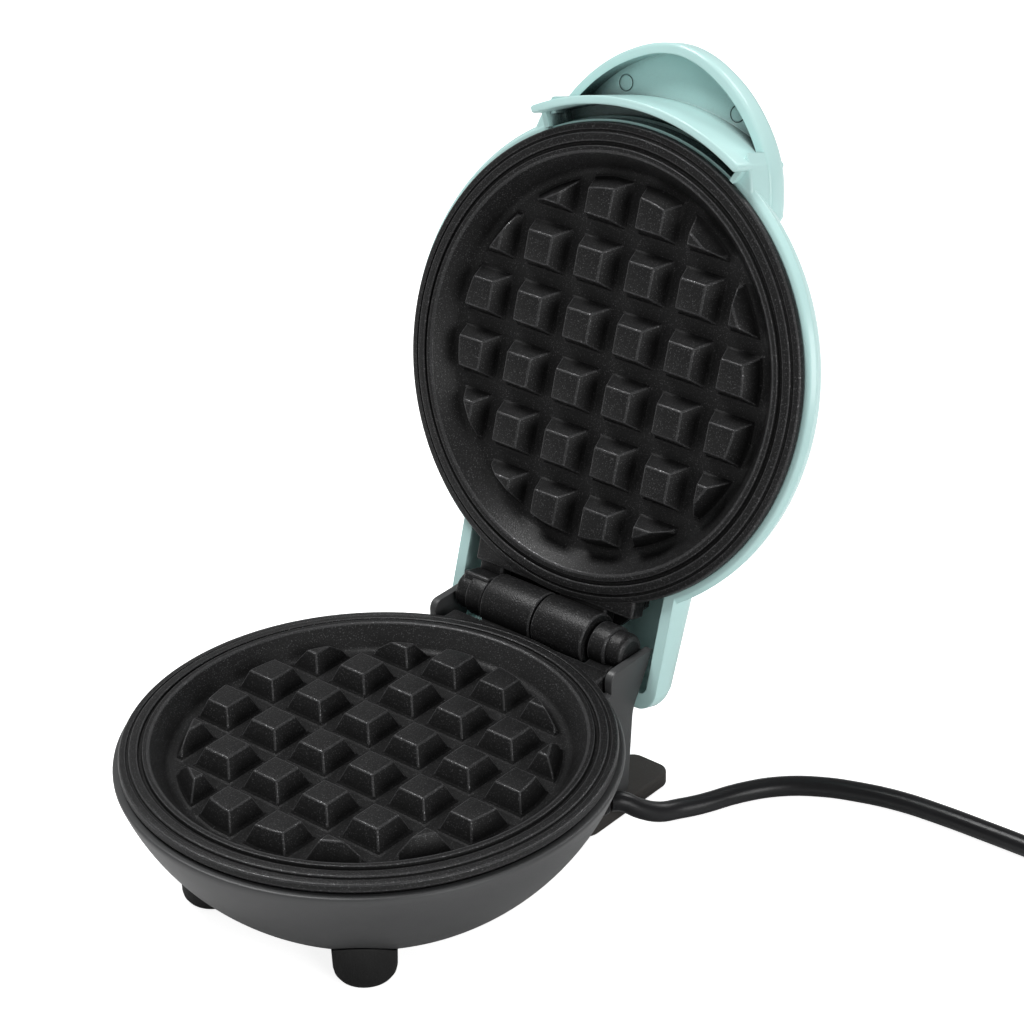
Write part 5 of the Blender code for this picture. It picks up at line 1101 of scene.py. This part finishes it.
class CastPlates(bpy.types.Operator):
    """Casts the two coated plates with their grid of cells, rings, hinge knuckles and bosses"""
    bl_idname = "waffle_maker.cast_plates"
    bl_label = "Cast Plates"

    def execute(self, context):
        parts = [spun("dish", PLATE_SECTION)] + plate_cells(context.scene.waffle_maker_sizes.cell_rounding)
        parts.append(flat_solid("tab", TAB_OUTLINE, *TAB_Z, TAB_ROUND))
        lap, stop = EAR_SPAN[1] - EAR_END_LAP, PIN_HALF_LENGTH + 0.0001
        ear_end = ((0.0, EAR_END, 0.0), (EAR_END_R, EAR_END, EAR_END_ROUND), (EAR_END_R, lap, 0.0),
                   (PIN_HOLE_R, lap, 0.0), (PIN_HOLE_R, stop, 0.0), (0.0, stop, 0.0))
        for mesh in (rod("knuckle", KNUCKLE_R, *KNUCKLE_SPAN, MIDDLE_STEPS, KNUCKLE_ROUND, PIN_HOLE_R),
                     rod("ear", EAR_R, *EAR_SPAN, MIDDLE_STEPS, EAR_ROUND, PIN_HOLE_R),
                     spun("ear_end", ear_end, MIDDLE_STEPS)):
            parts.append(placed(mesh, ALONG_X, at(0.0, HINGE_Y, KNUCKLE_Z)))
        for left, right in (KNUCKLE_SPAN, (EAR_SPAN[0], EAR_END - EAR_END_INSET)):
            parts.append(box("web", (left + WEB_INSET, WEB_FRONT_Y, WEB_Z[0]),
                             (right - WEB_INSET, HINGE_Y - PIN_HOLE_R - 0.0002, WEB_Z[1]), TAB_ROUND))
        for angle in BOSS_ANGLES:
            parts.append(drilled_boss(BOSS_R, BOSS_LOW_Z, BOSS_LOW_Z + BOSS_HOLE_DEPTH, *polar(BOSS_CIRCLE_R, angle)))
        for side in (-1, 1):
            parts.append(drilled_boss(CLAMP_BOSS_R, CLAMP_BOSS_LOW_Z, CLAMP_HOLE_TOP_Z, side * CLAMP_BOSS_X, 0.0))
        lower = gathered("cast_plate_lower", parts)
        lug = box("lug", (EAR_SPAN[0] + 0.0001, LUG_Y, LUG_Z[0]),
                  (EAR_END - EAR_END_INSET, HINGE_Y - PIN_HOLE_R - 0.0001, LUG_Z[1]), LUG_ROUND)
        upper = gathered("cast_plate_upper", [lower.copy(), lug, flat_solid("apron", APRON_OUTLINE, *APRON_Z)])
        material = finishes.coated_plate()
        for word, mesh, place, body in (("lower", lower, TO_LOWER_PLATE, "base"),
                                        ("upper", upper, TO_UPPER_PLATE, "lid")):
            add_piece(f"cast_plate_{word}", placed(mark_ridges(mesh), place), body, material,
                      f"{word}_plate")
        return {"FINISHED"}


def bowl_side(offset):
    """The bowl's curved side from its lip down to its flat bottom, moved out by offset."""
    top = Vector((LIP_R, LIP_Z - 0.0010))
    low = Vector((BOWL_BOTTOM_R, BOWL_BOTTOM_Z + 0.0010))
    chord = low - top
    rise = math.sqrt(BOWL_ARC_R ** 2 - chord.length_squared / 4)
    inward = Vector((chord.y, -chord.x)).normalized()
    centre = (top + low) / 2 + inward * rise
    start = math.atan2(top.y - centre.y, top.x - centre.x)
    end = math.atan2(low.y - centre.y, low.x - centre.x)
    angles = [start + (end - start) * i / BOWL_STEPS for i in range(BOWL_STEPS + 1)]
    radius = BOWL_ARC_R + offset
    return [(centre.x + radius * math.cos(a), centre.y + radius * math.sin(a), 0.0) for a in angles]


def bowl_solid(offset=0.0):
    side = bowl_side(offset)
    bottom = BOWL_BOTTOM_Z - offset
    section = [(0.0, LIP_Z, 0.0), (LIP_R + offset, LIP_Z, 0.0006)] + side
    section += [(BOWL_BOTTOM_R - 0.0020, bottom, 0.0006), (0.0, bottom, 0.0)]
    return spun("bowl", section)


def bowl_hollow():
    side = [p for p in bowl_side(-BOWL_WALL) if p[1] > BOWL_BOTTOM_Z + BOWL_WALL + 0.0005]
    side = [(min(radius, BOWL_MOUTH_R), height, 0.0) for radius, height, _ in side]
    side = [p for i, p in enumerate(side) if i == len(side) - 1 or p[0] < BOWL_MOUTH_R or side[i + 1][0] < BOWL_MOUTH_R]
    floor = BOWL_BOTTOM_Z + BOWL_WALL
    section = [(0.0, LIP_Z + PAST, 0.0), (BOWL_MOUTH_R, LIP_Z + PAST, 0.0)] + side
    section += [(BOWL_BOTTOM_R - 0.0020, floor, 0.0), (0.0, floor, 0.0)]
    return placed(spun("bowl_hollow", section), FACET_TURN)


class MouldHousing(bpy.types.Operator):
    """Moulds the base housing: the bowl, the column behind it, its posts and the cord's boss"""
    bl_idname = "waffle_maker.mould_housing"
    bl_label = "Mould Housing"

    def execute(self, context):
        corner = context.scene.waffle_maker_sizes.column_corner
        steps = [
            join(side_solid("column", COLUMN_SIDE, COLUMN_HALF_WIDTH, corner)),
            cut(bowl_hollow()),
            cut(side_solid("column_hollow", COLUMN_HOLLOW_SIDE, COLUMN_HALF_WIDTH - COLUMN_WALL)),
        ]
        for angle in BOSS_ANGLES:
            place = at(*polar(BOSS_CIRCLE_R, angle))
            steps += [
                join(rod("post", POST_R, POST_LOW_Z, POST_TOP_Z), place),
                cut(rod("post_hole", SCREW_HOLE_R, UNDER_BOWL_Z, POST_TOP_Z + PAST), place),
                cut(rod("post_seat", SCREW_HEAD_R, UNDER_BOWL_Z, POST_SEAT_Z), place),
            ]
        for side, (x, y) in zip((-1, 1), FRONT_FOOT_PLACES.values()):
            screw = at(side * REAR_FOOT_X, REAR_FOOT_SCREW_Y)
            steps += [
                cut(rod("spigot_hole", SPIGOT_R + FIT_GAP, UNDER_BOWL_Z, SPIGOT_HOLE_TOP_Z), at(x, y)),
                join(rod("foot_boss", FOOT_BOSS_R, *FOOT_BOSS_Z), screw),
                cut(rod("foot_hole", SCREW_HOLE_R, *FOOT_HOLE_Z), screw),
            ]
        steps += [
            join(rod("relief_boss", RELIEF_BOSS_R, RELIEF_BOSS_ROOT, RELIEF_BOSS_REACH, rounding=RELIEF_BOSS_ROUND),
                 *TO_RELIEF),
            cut(rod("relief_hole", RELIEF_HOLE_R, *RELIEF_HOLE_SPAN), *TO_RELIEF),
        ]
        mesh = placed(carved("housing", bowl_solid(), *steps), TO_BASE)
        add_piece("moulded_housing", mesh, "base", finishes.housing(), "base_housing")
        return {"FINISHED"}


class FitFeet(bpy.types.Operator):
    """Fits the two round front feet and the two long rear feet"""
    bl_idname = "waffle_maker.fit_feet"
    bl_label = "Fit Feet"

    def execute(self, context):
        # Both kinds of foot have a painted highlight on their edges.
        front = finishes.plain("front_foot_rubber", (0.011, 0.011, 0.011), 0.62, grain=0.0003, depth=0.00003,
                               mottle=0.2, painted_edge_highlight=1.5, specular=0.3)
        rear = finishes.plain("rear_foot_rubber", (0.034, 0.030, 0.027), 0.75, grain=0.0003, depth=0.00004,
                              mottle=0.2, painted_edge_highlight=1.4)
        for word, (x, y) in FRONT_FOOT_PLACES.items():
            foot = placed(spun("foot", FRONT_FOOT_SECTION, MIDDLE_STEPS), at(x, y))
            mesh = carved("foot", foot, cut(bowl_solid(FIT_GAP)),
                          join(rod("spigot", SPIGOT_R, *SPIGOT_Z, rounding=SPIGOT_ROUND), at(x, y)))
            add_piece(f"round_foot_{word}", placed(mesh, TO_BASE), "base", front,
                      f"front_foot_{word}")
        for word, side in (("left", -1), ("right", 1)):
            x = side * REAR_FOOT_X
            bm = cube((x - REAR_FOOT_HALF_WIDTH, REAR_FOOT_Y[0], 0.0),
                      (x + REAR_FOOT_HALF_WIDTH, REAR_FOOT_Y[1], REAR_FOOT_HEIGHT))
            bevel_edges(bm, [edge for edge in bm.edges if edge_reach(edge, 2) > TINY], REAR_FOOT_ROUND, 8)
            bevel_edges(bm, sharp_edges(bm, 60.0), REAR_FOOT_RIM_ROUND, 3)
            screw = at(x, REAR_FOOT_SCREW_Y)
            mesh = carved("foot", mesh_from(bm, "foot"),
                          cut(rod("hole", SCREW_HOLE_R, -PAST, REAR_FOOT_HEIGHT * 2), screw),
                          cut(rod("seat", SCREW_HEAD_R, -PAST, REAR_FOOT_HEAD_DEPTH), screw))
            add_piece(f"long_foot_{word}", placed(mesh, TO_BASE), "base", rear,
                      f"rear_foot_{word}")
        return {"FINISHED"}


def around_hinge(angle_deg, radius=SLEEVE_HINGE_R):
    """A place beside the hinge's axis, at an angle from the back towards the top."""
    y, z = polar(radius, angle_deg)
    return Vector((SLEEVE_X, HINGE_Y + y, HINGE.z + z))


def sleeve_mesh(points):
    points = smooth_run(points, 6)
    curve = round_curve("sleeve", SLEEVE_R, 4)
    spline = curve.splines.new("POLY")
    spline.points.add(len(points) - 1)
    for point, place in zip(spline.points, points):
        point.co = (*place, 1.0)
    return mesh_from(merged(evaluated(linked("sleeve", curve)), TINY), "sleeve")


class FitHinge(bpy.types.Operator):
    """Fits the hinge's pin and the two sleeves of the cable that crosses it"""
    bl_idname = "waffle_maker.fit_hinge"
    bl_label = "Fit Hinge"

    def execute(self, context):
        # The pin's and sleeves' edges get the default painted highlight.
        steel = finishes.plain("pin_steel", (0.56, 0.56, 0.55), 0.30, 1.0, grain=0.0004, depth=0.000006,
                               stretch=(0.15, 1.0, 1.0))
        pin = placed(rod("pin", PIN_R, -PIN_HALF_LENGTH, PIN_HALF_LENGTH, rounding=0.0004), ALONG_X,
                     Matrix.Translation(HINGE))
        add_piece("pin", pin, "base", steel, "hinge_pin")
        sleeve = finishes.plain("cable_sleeve", (0.030, 0.030, 0.032), 0.55, grain=0.0003, depth=0.00006,
                                mottle=0.25)
        up = (around_hinge(20.0), around_hinge(40.0), around_hinge(75.0, SLEEVE_HINGE_R + SLEEVE_R))
        down = (around_hinge(-90.0), around_hinge(-105.0))
        for word, points, place in (("lid", up + SLEEVE_LID_END, TO_OPEN_LID),
                                    ("base", down + SLEEVE_BASE_END, TO_BASE)):
            add_piece(f"sleeve_{word}", placed(sleeve_mesh(points), place), word, sleeve,
                      f"{word}_cable_sleeve")
        return {"FINISHED"}


def dome_side():
    out, down = DOME_BULGE_R - DOME_FLAT_R, DOME_TOP_Z - DOME_BULGE_Z
    rough = [Vector((DOME_FLAT_R + out * x, DOME_TOP_Z - down * z, 0.0)) for x, z in DOME_SIDE]
    return smooth_run(rough, 4)


def moved_in(points, distance):
    """An open run of points moved to the right of its direction."""
    moved = []
    for i, point in enumerate(points):
        along = (points[min(i + 1, len(points) - 1)] - points[max(i - 1, 0)]).normalized()
        moved.append(point + Vector((along.y, -along.x, 0.0)) * distance)
    return moved


def dome_solid():
    side = [(p.x, p.y, 0.0) for p in dome_side()]
    return spun("dome", [(0.0, DOME_TOP_Z, 0.0)] + side
                + [(DOME_RIM_R, DOME_RIM_Z, 0.0004), (0.0, DOME_RIM_Z, 0.0)])


def dome_hollow():
    side = [(p.x, p.y, 0.0) for p in moved_in(dome_side(), DOME_WALL) if p.x < DOME_MOUTH_R - 0.0001]
    section = [(0.0, DOME_TOP_Z - DOME_WALL, 0.0)] + side
    section += [(DOME_MOUTH_R, side[-1][1] - 0.0012, 0.0), (DOME_MOUTH_R, DOME_RIM_Z - PAST, 0.0),
                (0.0, DOME_RIM_Z - PAST, 0.0)]
    return placed(spun("dome_hollow", section), FACET_TURN)


def flat_solid(name, points, low_z, high_z, rounding=0.0):
    """A flat (x, y) outline raised from low_z to high_z, with its edges rounded if that is given."""
    bm = bmesh.new()
    bm.faces.new([bm.verts.new((x, y, low_z)) for x, y in points])
    raise_face(bm, (0.0, 0.0, high_z - low_z))
    if rounding > 0.0:
        bevel_edges(bm, bm.edges[:], rounding, 3)
    return mesh_from(bm, name)


def sector(name, inner, outer, low_z, high_z, start, end, steps=48):
    """A piece of a ring about the dome's axis, between two angles from the front."""
    angles = [270.0 + start + (end - start) * i / steps for i in range(steps + 1)]
    points = [polar(outer, a) for a in angles] + [polar(inner, a) for a in reversed(angles)]
    return flat_solid(name, points, low_z, high_z)


def handle_outline(inset):
    """The handle seen from above, right to left round its front, moved in by inset."""
    length = HANDLE_TIP_Y - HANDLE_SIDE_Y
    rough = [Vector((HANDLE_HALF_WIDTH * x, HANDLE_SIDE_Y + length * y, 0.0)) for x, y in HANDLE_SIDE]
    rough += [Vector((-p.x, p.y, 0.0)) for p in reversed(rough[:-1])]
    return [(p.x, p.y) for p in moved_in(smooth_run(rough, 3), inset)]


def falling_box(name, low, high, fall, top_round, corner_round, segments):
    """A box whose top falls towards its back, with its top and its upright rear edges rounded."""
    mesh = box(name, low, high)
    for vertex in mesh.vertices:
        if vertex.co.y > high[1] - TINY and vertex.co.z > high[2] - TINY:
            vertex.co.z -= fall

    def weights(edge):
        middle = edge_middle(edge)
        if edge_reach(edge, 2) > (high[2] - low[2]) / 2:
            return corner_round / top_round if middle.y > high[1] - TINY else 0.0
        return 1.0 if middle.z > high[2] - fall - TINY and middle.y > low[1] + TINY else 0.0
    return rounded_by_weight(mesh, weights, top_round, segments)


def hinge_cover(corner):
    return falling_box("cover", COVER_LOW, COVER_HIGH, COVER_FALL, COVER_TOP_ROUND, corner, 8)


def cover_hollow(corner):
    low = (COVER_LOW[0] + COVER_WALL, COVER_LOW[1], DOME_RIM_Z - PAST)
    high = (COVER_HIGH[0] - COVER_WALL, COVER_HOLLOW_Y, COVER_HIGH[2] - COVER_WALL)
    return falling_box("cover_hollow", low, high, COVER_FALL, COVER_TOP_ROUND - COVER_WALL,
                       max(corner - COVER_WALL, 0.0005), 6)


def band_solid():
    mesh = sector("band", BAND_INNER_R, BAND_OUTER_R, BAND_LOW_Z, RECESS_TOP_Z + 0.0020, -BAND_HALF_ANGLE,
                  BAND_HALF_ANGLE)
    end = math.sin(math.radians(BAND_HALF_ANGLE))

    def weights(edge):
        first, second = (vertex.co for vertex in edge.verts)
        if edge_reach(edge, 2) > TINY:
            return 1.0 if abs(first.x) > math.hypot(first.x, first.y) * end - TINY else 0.0
        return BAND_RIM_ROUND / BAND_ROUND if max(first.z, second.z) < BAND_LOW_Z + TINY else 0.0
    return rounded_by_weight(mesh, weights, BAND_ROUND, 4)


def band_end(side):
    """The wall that closes the groove behind the band at one of its ends."""
    start, end = sorted((side * BAND_END_ANGLE, side * (BAND_HALF_ANGLE - 0.4)))
    return sector("band_end", BAND_END_R, (BAND_INNER_R + BAND_OUTER_R) / 2, BAND_END_LOW_Z,
                  HANDLE_LOW_Z + 0.0010, start, end, 4)


def shoulder(side):
    """The fill between the dome and the handle's side, behind the band's end."""
    edge = [(side * x, y) for x, y in handle_outline(0.0005) if x > 0.0 and SHOULDER_Y[0] < y < SHOULDER_Y[1]]
    first, last = (math.degrees(math.atan2(y, x)) for x, y in (edge[0], edge[-1]))
    inner = [polar(SHOULDER_R, last + (first - last) * i / 6) for i in range(7)]
    mesh = flat_solid("shoulder", edge + inner, SHOULDER_LOW_Z, HANDLE_LOW_Z + 0.0015)

    def weights(line):
        middle = edge_middle(line)
        outer = math.hypot(middle.x, middle.y) > SHOULDER_R + SHOULDER_ROUND
        return 1.0 if outer and middle.z < SHOULDER_LOW_Z + TINY else 0.0
    return rounded_by_weight(mesh, weights, SHOULDER_ROUND, 4)


def handle_solid():
    root_x, root_y = HANDLE_ROOT
    outline = handle_outline(0.0) + [(-root_x, root_y), (root_x, root_y)]
    mesh = flat_solid("handle", outline, HANDLE_LOW_Z, HANDLE_TOP_Z)

    def weights(edge):
        middle = edge_middle(edge)
        if middle.y > HANDLE_SIDE_Y + 0.004 or edge_reach(edge, 2) > TINY:
            return 0.0
        return 1.0 if middle.z > HANDLE_TOP_Z - TINY else HANDLE_LOW_ROUND / HANDLE_TOP_ROUND
    return rounded_by_weight(mesh, weights, HANDLE_TOP_ROUND, 6)


class MouldLid(bpy.types.Operator):
    """Moulds the lid: dome, hinge cover, front band and hollow handle, with its lens"""
    bl_idname = "waffle_maker.mould_lid"
    bl_label = "Mould Lid"

    def execute(self, context):
        corner = context.scene.waffle_maker_sizes.cover_corner
        recess_back = rod("recess_back", RECESS_BACK_R, HANDLE_LOW_Z - PAST * 2, RECESS_TOP_Z + PAST, ROUND_STEPS)
        recess = carved("recess", flat_solid("recess", handle_outline(HANDLE_WALL), HANDLE_LOW_Z - PAST, RECESS_TOP_Z),
                        cut(recess_back))
        groove_end = BAND_END_ANGLE + 0.5
        steps = [
            join(hinge_cover(corner)),
            join(shoulder(-1)),
            join(shoulder(1)),
            join(handle_solid()),
            cut(recess),
            cut(sector("groove", *GROOVE_R, DOME_RIM_Z - PAST, GROOVE_TOP_Z, -groove_end, groove_end)),
            join(band_solid()),
            join(band_end(-1)),
            join(band_end(1)),
            cut(dome_hollow()),
            cut(cover_hollow(corner)),
        ]
        for x, y in MARK_PLACES:
            steps.append(cut(rod("mark", MARK_R, RECESS_TOP_Z - PAST, RECESS_TOP_Z + MARK_DEPTH,
                                 bore=MARK_R - MARK_RING), at(x, y)))
        for angle in LID_POST_ANGLES:
            place = at(*polar(LID_POST_CIRCLE_R, angle))
            steps += [
                join(rod("post", LID_POST_R, LID_POST_LOW_Z, DOME_TOP_Z - DOME_WALL / 2), place),
                cut(rod("post_hole", SCREW_HOLE_R, LID_POST_LOW_Z - PAST, LID_POST_LOW_Z + LID_POST_HOLE_DEPTH), place),
            ]
        steps.append(cut(rod("lens_hole", LENS_R + FIT_GAP, *LENS_HOLE_Z), at(0.0, LENS_Y)))
        mesh = placed(carved("lid", dome_solid(), *steps), TO_OPEN_LID)
        add_piece("moulded_lid", mesh, "lid", finishes.lid(), "lid_shell")
        lens = placed(spun("lens", LENS_SECTION, MIDDLE_STEPS), at(0.0, LENS_Y), TO_OPEN_LID)
        # The lens's edges get the default painted highlight.
        plastic = finishes.plain("lens_plastic", (0.10, 0.28, 0.75), 0.12, mottle=0.05, grain=0.0008, depth=0.00001)
        add_piece("lens", lens, "lid", plastic, "indicator_lens")
        return {"FINISHED"}


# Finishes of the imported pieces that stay: colour, roughness, metallic and grain
INSIDE_FINISHES = {
    "screw_steel": ((0.50, 0.50, 0.48), 0.32, 1.0, 0.0005),
    "shield_steel": ((0.60, 0.60, 0.59), 0.38, 1.0, 0.0010),
    "clamp_steel": ((0.52, 0.52, 0.51), 0.40, 1.0, 0.0006),
    "element_steel": ((0.20, 0.19, 0.18), 0.50, 1.0, 0.0004),
    "lead_insulation": ((0.60, 0.57, 0.50), 0.60, 0.0, 0.0003),
    "ceramic_body": ((0.78, 0.76, 0.70), 0.55, 0.0, 0.0004),
    "fuse_metal": ((0.62, 0.60, 0.56), 0.30, 1.0, 0.0005),
    "lamp_plastic": ((0.80, 0.78, 0.70), 0.25, 0.0, 0.0006),
}


class FinishInside(bpy.types.Operator):
    """Gives the screws, elements, clamps, shields, wiring and lamp their finishes"""
    bl_idname = "waffle_maker.finish_inside"
    bl_label = "Finish Inside"

    def execute(self, context):
        slots = {part["node"]: part["material_slot"] for part in frame["record"]["subparts"]}
        for name, obj in frame["nodes"].items():
            slot = slots[name]
            if slot in INSIDE_FINISHES:
                colour, roughness, metallic, grain = INSIDE_FINISHES[slot]
                # The edges get the default painted highlight.
                material = finishes.plain(slot, colour, roughness, metallic, grain=grain, edge_width=0.0002)
            else:
                material = finishes.cord()
            for place in obj.material_slots:
                place.material = material
        return {"FINISHED"}


class SetStage(bpy.types.Operator):
    """Sets the pale floor, the soft lights and the surroundings"""
    bl_idname = "waffle_maker.set_stage"
    bl_label = "Set Stage"

    def execute(self, context):
        bm = bmesh.new()
        bmesh.ops.create_circle(bm, cap_ends=True, segments=96, radius=FLOOR_R)
        floor = linked("floor", mesh_from(bm, "floor"))
        floor.location.z = -0.0002
        pale = finishes.plain("floor", (0.82, 0.82, 0.82), 0.85, mottle=0.01, grain=0.002, depth=0.00001,
                              painted_edge_highlight=1.0, patch=0.5, specular=0.1)
        tree = pale.node_tree
        feed(tree, tree.nodes["Principled BSDF"], {
            "Emission Color": mix_colour(tree, self.seen(tree), shade((0.0,) * 3, 1.0), shade((1.0,) * 3, 1.0)),
            "Emission Strength": FLOOR_GLOW,
        })
        floor.data.materials.append(pale)
        for name, place, size, power in LIGHTS:
            light = bpy.data.lights.new(name, "AREA")
            light.shape = "DISK"
            light.size = size
            light.energy = power
            obj = linked(name, light)
            obj.location = place
            obj.rotation_euler = (LIT_PLACE - Vector(place)).to_track_quat("-Z", "Y").to_euler()
        world = context.scene.world = bpy.data.worlds.new("surroundings")
        world.use_nodes = True
        sky = world.node_tree
        around, towards_camera = SKY_STRENGTHS
        feed(sky, sky.nodes["Background"], {
            "Color": (1.0, 1.0, 1.0, 1.0),
            "Strength": math_node(sky, "MULTIPLY_ADD", self.seen(sky), towards_camera - around, around),
        })
        context.scene.view_settings.view_transform = "Standard"
        return {"FINISHED"}

    def seen(self, tree):
        return add_node(tree, "ShaderNodeLightPath").outputs["Is Camera Ray"]


STEPS = (PlaceCamera, LayCord, CastPlates, MouldHousing, FitFeet, FitHinge, MouldLid, FinishInside, SetStage)


class WaffleMakerPanel(bpy.types.Panel):
    """Lists the steps that build the waffle maker, and its sizes and colours"""
    bl_idname = "VIEW3D_PT_waffle_maker"
    bl_label = "Waffle Maker"
    bl_space_type = "VIEW_3D"
    bl_region_type = "UI"
    bl_category = "Waffle Maker"

    def draw(self, context):
        for step in STEPS:
            self.layout.operator(step.bl_idname)
        for group in (context.scene.waffle_maker_sizes, context.scene.waffle_maker_colours):
            for name in group.__annotations__:
                self.layout.prop(group, name)


CLASSES = (WaffleMakerSizes, WaffleMakerColours) + STEPS + (WaffleMakerPanel,)


def register():
    for cls in CLASSES:
        bpy.utils.register_class(cls)
    bpy.types.Scene.waffle_maker_sizes = PointerProperty(type=WaffleMakerSizes)
    bpy.types.Scene.waffle_maker_colours = PointerProperty(type=WaffleMakerColours)


def unregister():
    del bpy.types.Scene.waffle_maker_colours
    del bpy.types.Scene.waffle_maker_sizes
    for cls in reversed(CLASSES):
        bpy.utils.unregister_class(cls)


def main():
    register()
    bpy.ops.waffle_maker.place_camera()
    bpy.ops.waffle_maker.lay_cord()
    bpy.ops.waffle_maker.cast_plates()
    bpy.ops.waffle_maker.mould_housing()
    bpy.ops.waffle_maker.fit_feet()
    bpy.ops.waffle_maker.fit_hinge()
    bpy.ops.waffle_maker.mould_lid()
    bpy.ops.waffle_maker.finish_inside()
    bpy.ops.waffle_maker.set_stage()


if __name__ == "__main__":
    main()
